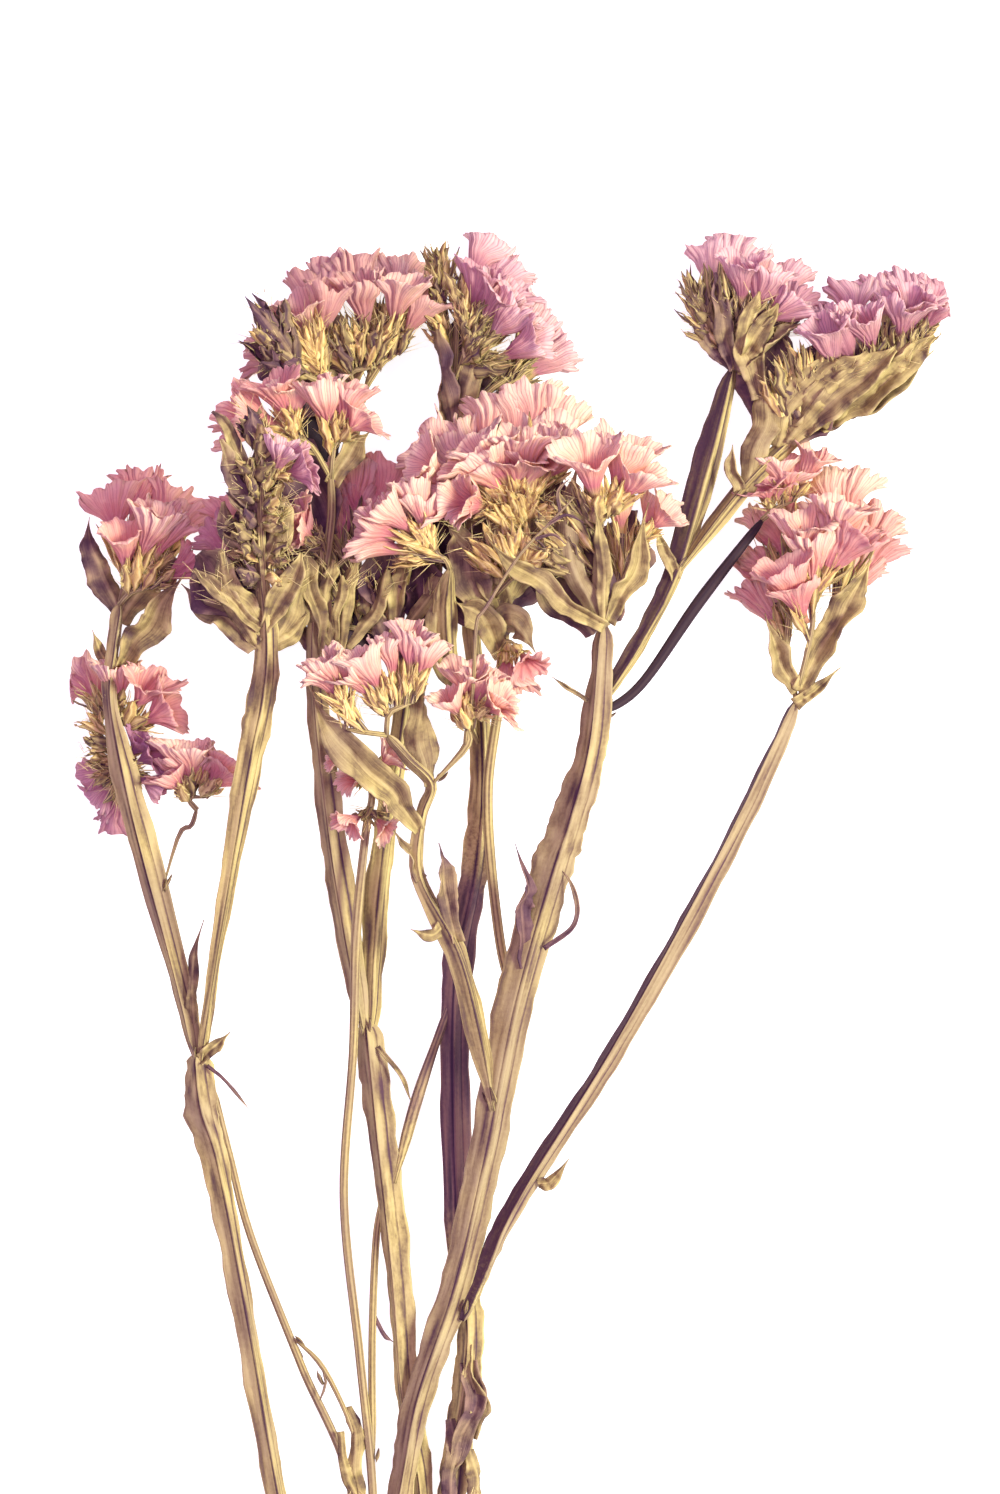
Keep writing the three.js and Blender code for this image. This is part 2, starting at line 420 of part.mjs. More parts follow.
// Sweeps a section along a route. The section's corners are [across, above], from a width.
function sweep(route, steps, grow, section) {
  const curve = catmull(route);
  const rings = [];
  for (let step = 0; step <= steps; step += 1) {
    const t = step / steps;
    const middle = curve.getPoint(t);
    const forward = curve.getTangent(t);
    const side = new THREE.Vector3(forward.y, -forward.x, 0).normalize();
    const up = new THREE.Vector3().crossVectors(side, forward).normalize();
    const place = t * (route.length - 1);
    const index = Math.min(Math.floor(place), route.length - 2);
    const width = THREE.MathUtils.lerp(route[index][3], route[index + 1][3], place - index);
    if (step === 0) middle.addScaledVector(forward, -grow);
    if (step === steps) middle.addScaledVector(forward, grow);
    rings.push(section(width, step).map(([across, above]) =>
      middle.clone().addScaledVector(side, across).addScaledVector(up, above)));
  }
  return closed(rings);
}

function slab(left, right, thickness) {
  const deep = thickness / 2;
  return [[right, deep], [-left, deep], [-left, -deep], [right, -deep]];
}

// A winged stem is thick in the middle and thin at both edges.
function stem(route, grow) {
  const steps = Math.max(route.length - 1, Math.round(catmull(route).getLength() / MM_PER_STEP));
  return sweep(route, steps, grow, (width) => {
    const half = width / 2 + grow;
    const core = Math.min(STEM_THICKNESS, Math.max(width, WING_EDGE)) / 2 + grow;
    const edge = Math.min(WING_EDGE / 2 + grow, core);
    return [[half, edge], [0, core], [-half, edge], [-half, -edge], [0, -core], [half, -edge]];
  });
}

function leaf(route, seed, grow) {
  const half = (width, step, kind) =>
    (width / 2) * (1 + LEAF_UNEVEN * (draw(seed + step, kind) - 0.5)) + grow;
  return sweep(route, route.length, grow, (width, step) =>
    slab(half(width, step, 4), half(width, step, 5), LEAF_THICKNESS + 2 * grow));
}

// Where a comb stands at a share of its length: its foot on the stalk, and the way to the crest.
function column(comb, share) {
  const inside = THREE.MathUtils.clamp(share, 0, 1);
  const foot = along(comb.stalk, STALK_ROOT + (1 - STALK_ROOT) * inside);
  const tip = along(comb.crest, share);
  const axis = tip.clone().sub(foot);
  const length = axis.length();
  axis.normalize();
  const side = new THREE.Vector3(axis.y, -axis.x, 0).normalize();
  const depth = new THREE.Vector3().crossVectors(side, axis);
  const outward = tip.z < foot.z ? -1 : 1;
  return { foot, axis, depth, length, outward };
}

function calyxHeight(comb, length) {
  return Math.min(CALYX_HEIGHT * (comb.size ?? 1), CALYX_SHARE * length);
}

// One comb's bracts: a wedge that stands on the stalk, with points that alternate front and back.
function bracts(comb, bare, seed, grow) {
  const half = STALK_WIDTH / 2 + grow;
  const root = column(comb, 0);
  const start = vector(comb.stalk[0]);
  const point = (from, { axis, depth }, up, across) =>
    from.clone().addScaledVector(axis, up).addScaledVector(depth, across);
  const rings = [[
    point(start, root, -half, -half), point(start, root, -half, half),
    point(start, root, half, half), point(start, root, half, -half),
  ]];
  const count = 2 * comb.count;
  for (let index = 0; index <= count; index += 1) {
    const place = column(comb, (index / count) * (1 + 2 * BRACT_REACH) - BRACT_REACH);
    const seat = bare
      ? place.length
      : Math.max(place.length - calyxHeight(comb, place.length) - SEAT_GAP, 2);
    const tall = seat * (1 - (bare ? BARE_UNEVEN : BRACT_UNEVEN) * draw(seed + index, 1)) + grow;
    const short = seat * BRACT_VALLEY + grow;
    const front = index % 2 === 0;
    const wide = BRACT_DEPTH * (comb.size ?? 1) + grow;
    rings.push([
      point(place.foot, place, -half, -half), point(place.foot, place, -half, half),
      point(place.foot, place, front ? tall : short, front ? wide : half),
      point(place.foot, place, front ? short : tall, front ? -half : -wide),
    ]);
  }
  return closed(rings);
}

// One calyx's columns: share along the comb, rim height, lower edge, and how far out it bulges.
const CALYX_COLUMNS = [
  { at: 0, rim: 0.8, low: CALYX_JOIN, bulge: -1 },
  { at: 0.3, rim: 1, low: 0, bulge: 2 },
  { at: 0.7, rim: 1, low: 0, bulge: 1.6 },
];

// One comb's calyxes: pleated funnels that grow together at their sides, with a ragged rim.
function calyxes(comb, seed, grow) {
  const rings = [];
  for (let index = 0; index <= comb.count * CALYX_COLUMNS.length; index += 1) {
    const { at, rim, low, bulge } = CALYX_COLUMNS[index % CALYX_COLUMNS.length];
    const calyx = Math.floor(index / CALYX_COLUMNS.length);
    const top = column(comb, (calyx + at - 0.5) / (comb.count - 1));
    const height = calyxHeight(comb, top.length);
    const middle = calyx + CALYX_FOOT_SPREAD * Math.sign(at - 0.5);
    const bottom = low > 0 ? top : column(comb, middle / (comb.count - 1));
    const seat = top.length - height;
    const ragged = RIM_RAGGED * (draw(seed + index, 2) - 0.5);
    const out = top.outward * bulge * (comb.size ?? 1) * (0.8 + 0.4 * draw(seed + calyx, 3));
    const wall = CALYX_WALL / 2 + grow;
    const point = (from, up, across) =>
      from.foot.clone().addScaledVector(from.axis, up).addScaledVector(from.depth, across);
    const lowest = low > 0 ? seat + low * height : bottom.length - calyxHeight(comb, bottom.length);
    const lean = low > 0 ? out * low : out * 0.2;
    const rimUp = seat + rim * height + ragged + grow;
    rings.push([
      point(bottom, lowest - grow, lean - wall), point(bottom, lowest - grow, lean + wall),
      point(top, rimUp, out + wall), point(top, rimUp, out - wall),
    ]);
  }
  return closed(rings);
}

function fuse(solids) {
  return solids.reduce((whole, solid) => whole.add(solid));
}

// The largest body of a solid: loose scraps and sealed hollows are left out.
function largest(solid) {
  return solid.decompose().reduce((best, body) => (body.volume() > best.volume() ? body : best));
}

const SEEDS_PER_BLADE = 10;
const SEEDS_PER_COMB = 100;
const SEEDS_PER_STEM = 10000;

function stemSolid(plan, seed, grow) {
  const combs = Object.values(plan.heads).flat();
  const all = [...combs, ...plan.bracts];
  return fuse([
    ...plan.routes.map((route) => stem(route, grow)),
    ...plan.blades.map((route, index) => leaf(route, seed + SEEDS_PER_BLADE * index, grow)),
    ...all.map((comb, index) =>
      bracts(comb, index >= combs.length, seed + SEEDS_PER_COMB * index, grow)),
  ]);
}

const floor = solidOf(new THREE.BoxGeometry(FLOOR_SIZE, FLOOR_SIZE, FLOOR_SIZE)
  .translate(0, 0, -FLOOR_SIZE / 2));

function meshOf(name, solid, colour) {
  const { vertProperties, triVerts, numProp } = solid.getMesh();
  const geometry = new THREE.BufferGeometry();
  geometry.setAttribute("position", new THREE.BufferAttribute(vertProperties, numProp));
  geometry.setIndex(new THREE.BufferAttribute(triVerts, 1));
  const material = new THREE.MeshStandardMaterial({ color: colour, roughness: 0.8, metalness: 0 });
  const mesh = new THREE.Mesh(geometry, material);
  mesh.name = name;
  return mesh;
}

// Solids are made in turn, and each is cut clear of those before it: the stems, then the heads.
const bunch = new THREE.Group();
const made = [];

function place(name, solid, grown, colour) {
  const clear = made.reduce((left, other) => left.subtract(other), solid.subtract(floor));
  bunch.add(meshOf(name, largest(clear.simplify(SLIVER)), colour));
  made.push(grown);
}

const stems = Object.entries(STEMS).map(([name, plan], index) =>
  ({ name, plan, seed: SEEDS_PER_STEM * index }));

for (const { name, plan, seed } of stems) {
  place(name, stemSolid(plan, seed, 0), stemSolid(plan, seed, CLEARANCE), STEM_COLOUR);
}

for (const { plan, seed } of stems) {
  const combs = Object.entries(plan.heads).flatMap(([name, list]) =>
    list.map((comb, index) => [`${name}_${index + 1}`, comb]));
  combs.forEach(([name, comb], index) => {
    const start = seed + SEEDS_PER_COMB * index;
    place(name, calyxes(comb, start, 0), calyxes(comb, start, CLEARANCE), CALYX_COLOUR);
  });
}

bunch.position.set(-MIDDLE_X, -MIDDLE_Y, 0);

export default bunch;
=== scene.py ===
# %% [markdown]
# # A dried statice bunch
#
# Winged statice dries without fading much. What looks like its flower is the calyx, a papery,
# pleated funnel. The calyxes stand close together along short stalks, each with a few pointed
# straw bracts at its foot, and the stalks end long, winged, ribbed stems.
#
# This lesson builds such a bunch, lying on a pale surface, piece by piece. Every piece stands for
# one solid of a plain model that already holds the real sizes. The solid is hidden, and the fine
# piece takes its place along the same route.

# %% Load the plain model
import json
import math

import bmesh
import bpy
from mathutils import Matrix, Vector, noise


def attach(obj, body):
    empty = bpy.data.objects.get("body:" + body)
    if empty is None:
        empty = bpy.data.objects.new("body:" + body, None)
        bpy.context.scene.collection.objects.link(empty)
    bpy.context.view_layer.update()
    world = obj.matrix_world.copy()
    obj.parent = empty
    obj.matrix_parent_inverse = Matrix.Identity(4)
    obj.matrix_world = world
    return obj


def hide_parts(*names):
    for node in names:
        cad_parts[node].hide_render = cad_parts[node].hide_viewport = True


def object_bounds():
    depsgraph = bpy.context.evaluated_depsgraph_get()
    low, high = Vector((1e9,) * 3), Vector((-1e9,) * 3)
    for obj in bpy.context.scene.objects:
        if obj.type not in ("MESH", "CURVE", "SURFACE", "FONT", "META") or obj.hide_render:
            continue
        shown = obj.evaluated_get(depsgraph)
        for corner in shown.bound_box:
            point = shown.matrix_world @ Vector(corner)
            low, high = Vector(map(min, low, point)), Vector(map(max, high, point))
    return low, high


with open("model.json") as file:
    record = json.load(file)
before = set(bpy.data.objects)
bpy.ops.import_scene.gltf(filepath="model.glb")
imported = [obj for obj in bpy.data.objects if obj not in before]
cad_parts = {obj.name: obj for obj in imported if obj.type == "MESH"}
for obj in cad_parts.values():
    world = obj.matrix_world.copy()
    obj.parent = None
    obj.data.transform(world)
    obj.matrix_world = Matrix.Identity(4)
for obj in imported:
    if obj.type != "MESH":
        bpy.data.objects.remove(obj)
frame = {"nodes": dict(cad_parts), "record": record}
plain_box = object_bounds()
print("plain solids:", len(frame["nodes"]))

# %% [markdown]
# ## Units and repeatable chance
#
# Blender works in metres, and the routes below are easier to read in millimetres, so one factor
# turns one into the other. No two flowers are alike, but the bunch has to come out the same each
# time. So each choice comes from draw(), a formula that gives the same number from 0 to 1 for
# the same two seeds. Python's own random numbers would also work with a seed, but then adding one
# flower would change all the others after it. Blender's noise vectors need a seed too, since
# otherwise they start from the clock.

# %% Units and draws
MM = 0.001
TAU = 2 * math.pi
MIDDLE = Vector((1.4, -37.3, 0.0))  # of the bunch's box, in the routes' coordinates
FLOOR_LEVEL = 0.0
REST_CLEARANCE = 0.15 * MM
NOISE_SEED = 5
noise.seed_set(NOISE_SEED)


def draw(item, kind):
    """A number from 0 to 1 that is always the same for the same two seeds."""
    wave = math.sin(item * 12.9898 + kind * 78.233) * 43758.5453
    return wave - math.floor(wave)


def spread_draw(item, kind, reach):
    """A number from -reach to reach."""
    return reach * (2 * draw(item, kind) - 1)


def point_of(place):
    """A place in the routes, in metres round the middle of the bunch."""
    return (Vector(place[:3]) - MIDDLE) * MM


print("first draws:", [round(draw(item, 1), 3) for item in range(3)])

# %% [markdown]
# ## The routes
#
# A stem's form is only a few numbers: the points that its middle passes and its width at each.
# Blades are the same for leaves and wings. A comb is how the flowers stand: `stalk` is the line
# that they grow from, `crest` is the line that their tips reach, and `count` is how many there
# are. `size` makes the flowers larger or smaller. A comb of bare bracts can have its own `tone`,
# from straw at 0 to brown at 1, and can be `crumpled`.
#
# The numbers were settled on the plain model, and are repeated here so that the fine pieces grow
# along the very same lines. The alternative, reading them from the solids' corners, would lose
# which corner belongs to what. All of them are in millimetres.

# %% The routes
def new_comb(stalk, crest, count, size=1.0, **look):
    """A row of flowers: the line that they grow from, the line of their tips, and how many."""
    return {"stalk": stalk, "crest": crest, "count": count, "size": size, **look}


def describe(name):
    plan = STEMS[name]
    combs = sum(len(group) for group in plan["heads"].values())
    print(f"{name}: {len(plan['routes'])} routes, {len(plan['blades'])} blades, {combs} combs")


STEMS = {}
print("a comb has", ", ".join(new_comb([], [], 0)))

# %% [markdown]
# ### The centre stem
#
# The thickest stem. It forks again and again, and carries the heads in the middle and at the
# right.

# %% The centre stem
STEMS["stem_centre"] = {
    "routes": [
        [[-30, -176, 1, 3], [-25.5, -150, 5, 3], [-20.5, -125, 6.6, 3.2],
         [-16, -101.5, 7.4, 3.5], [-13, -86.5, 9, 3.8], [-7, -69, 11.5, 4.4], [-2, -48, 14.5, 5],
         [2.5, -24, 17.5, 5.4], [8, -3, 20, 5.6], [11, 6.5, 21, 5], [14.5, 19, 22.5, 4.2],
         [16.5, 37.5, 24.5, 2.8]],
        [[-6, -74, 10.6, 2.2], [-2.5, -66, 10, 2.4], [3, -54.5, 9.5, 2.6], [19, -29.5, 9.5, 2.8],
         [37, 3, 9.5, 2.6], [47.5, 25.5, 9.5, 2]],
        [[15.5, 24, 22.4, 1.8], [22.5, 35, 17.5, 2.2], [28, 45.5, 14, 2.6], [33, 61, 12, 4],
         [37.5, 79, 10.5, 2.4]],
        [[28, 45.5, 14, 2.2], [38.5, 59, 12, 2.4], [46.5, 67, 10.5, 2.5], [51, 70.5, 10.5, 2.2]],
        [[15.5, 23, 22, 1.6], [22.5, 28, 17, 1.8], [32, 41.5, 12.5, 2.2], [42.5, 55, 9.5, 1.6]],
        [[3, -24, 16, 1.6], [0, -13, 13.5, 1.8], [-2, 9.5, 12.5, 1.9], [0, 27, 14, 1.8],
         [2, 54, 19, 1.6]],
        [[-1, -40, 16.5, 2.4], [-3.5, -27, 18.5, 3], [-7, -14.5, 20, 2.8], [-13, -2.5, 21, 2],
         [-12.5, 7, 22.5, 1.5], [-11, 12, 23.5, 1.6], [-14.5, 16, 27, 1.5], [-18, 20, 29, 1.4]],
        [[-11, 12, 23.5, 1.4], [-5.5, 18, 24.5, 1.5], [-5, 21, 25.5, 1.4]],
        [[16.5, 37, 24.5, 2.6], [16, 45, 25.5, 2], [16, 52, 26.5, 1.4]],
        [[-4.9, 20.3, 25.4, 0.8], [-4.2, 28.6, 30, 0.7], [-3.7, 37.6, 32, 0.65],
         [-2.2, 40.2, 32.6, 0.6], [3, 48.3, 33.2, 0.55], [7.8, 53.4, 33.6, 0.5],
         [11.8, 57.6, 34, 0.4]],
    ],
    "blades": [
        [[6, -52, 9.5, 1.2], [8, -51.6, 9.8, 1.6], [11, -48, 10, 0.7]],
        [[47.5, 25, 9.5, 1.4], [50.5, 27, 10.5, 1.3], [54.5, 31, 11, 0.6]],
        [[28, 45, 14, 1.2], [26.5, 49, 15.5, 1.4], [25.5, 54.5, 17, 0.6]],
        [[38.5, 59.5, 12.5, 1.6], [37.6, 63, 13.6, 1.6], [37.3, 66.5, 14, 0.6]],
        [[39.5, 59, 12, 2], [41.3, 66, 12.5, 3], [42.4, 72, 13, 3.6], [43, 79, 13, 2.6]],
        [[51, 69.5, 10, 2.4], [57, 72, 8.5, 3.6], [64, 76.5, 8, 3], [69.5, 82, 8.5, 0.8]],
        [[48, 27, 10, 2], [52.5, 35, 11, 3.6], [56.5, 42, 12, 4], [60, 49, 12, 1]],
        [[47.5, 27, 10, 1.6], [44.5, 33, 11, 2.6], [42.5, 39.5, 12, 0.8]],
        [[16.5, 37, 25, 1.6], [12, 46, 27, 2.6], [10.8, 56, 27.5, 2.4], [12.5, 64, 28, 0.9]],
        [[16.5, 38, 25.5, 1.2], [16, 47, 29, 1.8], [14.8, 57, 31, 0.8]],
        [[17, 38, 24, 1.6], [21, 46, 25, 2.6], [23.5, 57, 25.5, 0.8]],
        [[16.5, 37.5, 25, 1.4], [9.5, 41.5, 27, 2.4], [2.5, 46.5, 28, 2.2], [-2, 51, 28.5, 0.8]],
        [[-9, -10.5, 20.6, 1.8], [-11, -11.3, 21.5, 1.5], [-14, -10.3, 21.5, 0.6]],
        [[-12.5, -3, 21, 1.6], [-15, 1, 21.3, 1.3], [-16.8, 5, 22, 0.7]],
        [[-7, -13, 20, 1.6], [-9, -3, 21.5, 2.2], [-9.6, 2.8, 22, 0.6]],
        [[-11, 12, 23.5, 1.6], [-12.6, 18, 23.5, 3.6], [-12, 24, 24, 3], [-11, 31, 24, 0.9]],
        [[-13, 5, 22, 1.6], [-18, 11.5, 25.5, 3.4], [-26, 19, 28, 3.8], [-31, 29, 28, 0.9]],
        [[0, 33, 15, 2], [-3.5, 39.5, 20, 3.8], [-7, 41.5, 21, 1.4]],
        [[-1, 36, 17, 2.4], [2, 37.5, 21, 4.4], [5.4, 33, 21.5, 1.6]],
        [[4, -17, 18, 1.6], [3.4, -8, 20, 2.2], [4, -4, 21, 1.8], [1.8, 2.5, 21.5, 0.6]],
        [[7, -14, 19, 1.1], [11.2, -10.8, 19.6, 1.1], [12.3, -7.5, 20, 1.1],
         [11.5, -3.8, 20.2, 1.1], [9.4, -1, 20.2, 1.1]],
        [[14, 25.5, 23, 1], [11, 27.6, 23, 1], [8.4, 29.4, 23, 0.7]],
        [[7.8, 53.4, 33.6, 0.7], [10.5, 54.6, 34, 0.6], [13.2, 53.4, 34, 0.5]],
        [[9.5, 55.2, 33.8, 0.7], [9.2, 58.4, 34, 0.6], [11, 60.4, 34, 0.5]],
        [[5.5, 51, 33.4, 0.7], [8.4, 51.6, 34, 0.6], [10.4, 50.2, 34, 0.5]],
    ],
    "heads": {
        "calyxes_broad_head": [
            new_comb([[2, 53, 19], [0, 57, 20], [-1.5, 58.5, 20]],
                     [[-14.5, 66, 19], [-11, 69.5, 17], [-5.5, 70.5, 17], [-1, 73, 17]],
                     4, size=1.1),
            new_comb([[2, 53, 19], [5, 58.5, 19], [7.5, 59.5, 19]],
                     [[0, 73.5, 17], [5.5, 76, 17], [10.5, 74.5, 17], [13, 68, 19]],
                     4, size=1.1),
            new_comb([[2, 52, 20], [0, 55, 23], [-0.5, 56, 24]],
                     [[-14, 63.5, 24], [-11, 59.5, 26], [-7, 56, 27]], 3),
            new_comb([[2, 53, 20], [2.5, 56, 24], [4.5, 57, 24]],
                     [[-7, 66.5, 26], [-1.5, 67.5, 27], [4, 69, 27], [11, 67.5, 25]],
                     4, size=1.15),
        ],
        "calyxes_near_right_head": [
            new_comb([[16, 48, 26.5], [16, 54, 27.5], [18, 55, 27.5]],
                     [[11.5, 66, 33], [16, 68, 31], [21.5, 66, 31], [24, 63, 32]], 3, size=1.2),
            new_comb([[17, 40, 24.5], [20, 46, 23], [22, 51, 22]],
                     [[20, 59, 21], [24.5, 59, 22], [27, 55.5, 22]], 3, size=0.75),
        ],
        "calyxes_middle_head": [
            new_comb([[-5.5, 18, 24.5], [-5, 22, 26], [-3.5, 23, 26]],
                     [[-9, 27, 29], [-6.5, 31, 28], [-3, 31, 29], [0, 29, 29], [1, 25, 28]],
                     5, size=0.85),
        ],
        "calyxes_nodding": [
            new_comb([[0.5, 33, 15], [1, 35, 18], [2.5, 34.5, 19]],
                     [[0.5, 26.5, 21], [5, 29, 22]], 2, size=0.8),
        ],
        "calyxes_front_head": [
            new_comb([[-18, 20, 29], [-17.5, 23.5, 31], [-14, 25, 31.5]],
                     [[-24, 32, 33], [-20.5, 35, 33], [-15, 37.5, 33], [-11, 36, 33]],
                     5, size=0.8),
            new_comb([[-18, 20, 29], [-22, 20.5, 30], [-24.5, 21, 30]],
                     [[-30, 30.5, 32], [-27.5, 33, 32], [-24.5, 33.5, 33]], 3, size=0.75),
        ],
        "calyxes_right_low_head": [
            new_comb([[47.5, 26, 9.5], [46, 34, 9.5], [47, 44, 9.5]],
                     [[43, 44, 5], [42, 51, 3], [42.5, 57.5, 2], [45.5, 62.5, 2]], 4),
            new_comb([[48, 26, 10], [51.5, 34, 10], [54.5, 44, 10]],
                     [[62, 51, 4], [60.5, 57, 2], [56.5, 61, 2], [51.5, 62.5, 2]], 4),
            new_comb([[48, 28, 10.5], [50, 37, 12.5], [50, 42, 13]],
                     [[44.5, 45.5, 15], [46.5, 53, 15], [51, 58, 15], [56, 57.5, 15],
                      [59, 52, 15]], 4, size=1.1),
            new_comb([[42, 54.5, 9.6], [44.5, 56.5, 9.6], [47, 57.5, 9.6]],
                     [[42, 61, 11], [45.5, 65, 11], [50.5, 66.5, 11]], 3, size=0.85),
        ],
        "calyxes_right_high_head": [
            new_comb([[37.5, 79, 10.5], [35.5, 83, 9.5], [34, 86, 9.5]],
                     [[30.5, 91, 4], [30.5, 95.5, 3], [33.5, 99.5, 2], [38.5, 100, 2]], 4),
            new_comb([[37.5, 79, 10.5], [41, 82.5, 10], [44, 83.5, 10]],
                     [[39, 99, 2], [44, 97, 2], [48.5, 92, 3]], 3),
            new_comb([[37.5, 79.5, 11], [38.5, 83.5, 12.5], [40.5, 84, 13]],
                     [[34, 95, 15], [38, 97.5, 15], [43, 96, 15], [47, 91, 14]], 4),
        ],
        "calyxes_far_right_head": [
            new_comb([[51, 70.5, 10], [56, 74.5, 9.5], [62, 79, 9.5], [67.5, 83.5, 9.5]],
                     [[53, 89, 4], [57.5, 94, 2], [64.5, 95, 1.4], [69, 93.5, 1.4], [71.5, 92, 2]],
                     6),
            new_comb([[51, 70.5, 11], [56, 74.5, 12], [62, 78.5, 12], [66.5, 82.5, 12]],
                     [[50.5, 86, 15], [56, 87.5, 16], [62, 91, 16], [67, 91, 15], [71, 91, 14]],
                     6),
        ],
    },
    "bracts": [
        new_comb([[44.5, 65, 11], [48, 68, 11], [51, 70.5, 11]],
                 [[43, 80, 13], [46, 84, 13], [51, 85, 14]], 4),
        new_comb([[16, 40, 25], [15, 45, 24], [16, 51, 25.5]],
                 [[4, 50, 26], [6, 57, 27.5], [11, 62, 29]], 4),
        new_comb([[2, 48, 18], [4, 53, 21], [5, 55, 22]],
                 [[-3, 57, 27], [1, 60, 28], [6, 60, 28], [10, 56, 27]], 5, size=1.15, tone=0.0),
        new_comb([[-1, 42, 17], [2, 45, 21], [4, 46, 23]],
                 [[-6.5, 50, 25], [-2.5, 54, 27], [3, 54.5, 28], [8, 51.5, 27]],
                 3, size=1.2, tone=0.05),
        new_comb([[37.5, 79, 10.5], [35, 83, 11.5], [34, 84, 12]],
                 [[30, 87, 12], [29.5, 92, 12], [31, 96, 12]], 3),
    ],
}
describe("stem_centre")

# %% [markdown]
# ### The left stem
#
# It forks at mid-height. One branch carries the far left heads, and the other one is a spike of
# bare bracts with two small combs of flowers.

# %% The left stem
STEMS["stem_left"] = {
    "routes": [
        [[-21.5, -174, 1, 2.8], [-25.5, -150, 1.9, 2.8], [-31, -125, 3.2, 2.9],
         [-36, -101.5, 4.5, 3], [-41, -73.5, 6.5, 3], [-45.5, -49.5, 8.5, 3.6],
         [-48, -40, 9.5, 4.6], [-48.5, -31, 10.5, 3.4]],
        [[-48.5, -33, 10.5, 2], [-51, -21, 10.5, 2.8], [-57, 1.5, 12, 3.8], [-60, 13, 13.2, 3.4],
         [-62.5, 25.5, 13.2, 1.9], [-62, 33.5, 12.4, 1.8], [-61, 41, 11, 1.9]],
        [[-48, -33, 10.7, 1.6], [-46.5, -22.5, 14, 1.6], [-43, -1.5, 19, 2.4],
         [-40, 16, 22, 3.8], [-38, 25.5, 23.5, 4], [-37, 35, 24.5, 3], [-38, 48, 26, 1.8],
         [-38.5, 66, 27.5, 1]],
        [[-54.5, -6, 10.5, 0.9], [-51.5, 4, 11, 0.9], [-49.5, 5.5, 11.5, 0.9],
         [-48.5, 8.5, 13, 0.9]],
    ],
    "blades": [
        [[-38.5, 34, 24, 2.4], [-43.5, 38.5, 22, 3.6], [-47.5, 41.5, 20, 3], [-51, 44, 18, 0.8]],
        [[-37, 34, 24.5, 2], [-33.5, 36, 23, 2.8], [-30.5, 40, 22, 0.8]],
        [[-61, 40, 10, 2], [-63.8, 45, 11, 3.2], [-65.5, 50, 12, 2.4], [-65.5, 55, 13, 0.8]],
        [[-61, 31, 11, 1.6], [-57.5, 36, 13, 3.6], [-54.5, 40.5, 14, 3.4], [-51, 46.5, 15, 0.8]],
        [[-62.3, 31, 10.5, 1.2], [-63.8, 33.5, 11, 1.2], [-65.3, 37, 11.5, 0.6]],
        [[-48, -32, 11, 1.6], [-45.8, -30.4, 12, 1.6], [-43, -27.6, 13, 0.6]],
        [[-47, -33, 10.8, 0.8], [-43.5, -36, 11.8, 0.7], [-39.5, -41, 12.2, 0.6]],
        [[-49, -27, 10.5, 1.3], [-49.4, -19, 12.5, 1.2], [-48, -9.5, 13, 0.6]],
    ],
    "heads": {
        "calyxes_left_top_head": [
            new_comb([[-61, 41, 10.5], [-59.5, 46, 9.5], [-54.5, 47, 9]],
                     [[-64, 60, 3], [-60.5, 63, 2], [-52, 61, 2], [-49, 57.5, 3]], 4),
            new_comb([[-61, 41, 11], [-59, 43, 13], [-56, 43.5, 14]],
                     [[-60.5, 54.5, 15], [-55, 56.5, 15], [-50.5, 54.5, 14], [-48, 49, 13]], 4),
        ],
        "calyxes_left_middle_head": [
            new_comb([[-62.5, 25, 10.5], [-63.5, 23.5, 9.5], [-64, 22.5, 9]],
                     [[-68, 29, 3], [-65, 32, 3]], 2),
            new_comb([[-62.5, 24, 10], [-60.5, 22, 10], [-59.5, 21, 10]],
                     [[-61, 31.5, 12], [-56, 31, 13], [-52, 24, 13]], 3),
        ],
        "calyxes_left_low_head": [
            new_comb([[-61, 17, 10], [-61.5, 14, 8.5], [-61, 12, 8]],
                     [[-66, 12, 1.6], [-66, 7.5, 1.4], [-62.5, 5, 1.6]], 3, size=0.85),
            new_comb([[-61, 17, 10], [-60, 15, 10], [-59.5, 14, 10]],
                     [[-56.5, 20, 12], [-54.5, 17, 12], [-54.5, 11, 11]], 3, size=0.7),
        ],
        "calyxes_left_side_shoot": [
            new_comb([[-48.5, 8, 13], [-50, 10, 13], [-47, 10, 13.5]],
                     [[-54, 15, 13], [-51, 18.5, 13], [-45.5, 19, 14], [-42.5, 14.5, 14]],
                     5, size=0.95),
        ],
        "calyxes_front_spike_pale": [
            new_comb([[-38, 56, 26.6], [-36.5, 60, 28], [-35.5, 61, 28]],
                     [[-34, 67, 32], [-30, 62.5, 32]], 2, size=0.8),
        ],
        "calyxes_front_spike_dark": [
            new_comb([[-38, 43, 25.4], [-40, 44.5, 22], [-40.5, 47, 21]],
                     [[-48, 44, 18], [-48.5, 52, 17], [-43.5, 58, 17]], 3, size=0.95),
        ],
    },
    "bracts": [
        new_comb([[-37, 36, 24.5], [-38, 48, 26], [-38.5, 64, 27.5]],
                 [[-42.5, 46, 28], [-43.5, 57, 30], [-41, 73, 30]],
                 5, size=1.15, tone=0.75, crumpled=True),
        new_comb([[-36.7, 37, 24.8], [-37.6, 48.6, 26.4], [-38, 63, 27.8]],
                 [[-33, 46, 28.4], [-33, 56, 30.4], [-36.5, 70, 30.4]],
                 4, size=1.15, tone=0.5, crumpled=True),
        new_comb([[-62.3, 26, 9.5], [-63, 20, 9], [-61, 14, 9]],
                 [[-67, 28, 9], [-68, 20, 9], [-67, 14, 8]], 3),
    ],
}
describe("stem_left")

# %% [markdown]
# ### The middle stem
#
# A forked stem with a side branch and a looped leaf. It carries the arched head at the top and
# two heads below it.

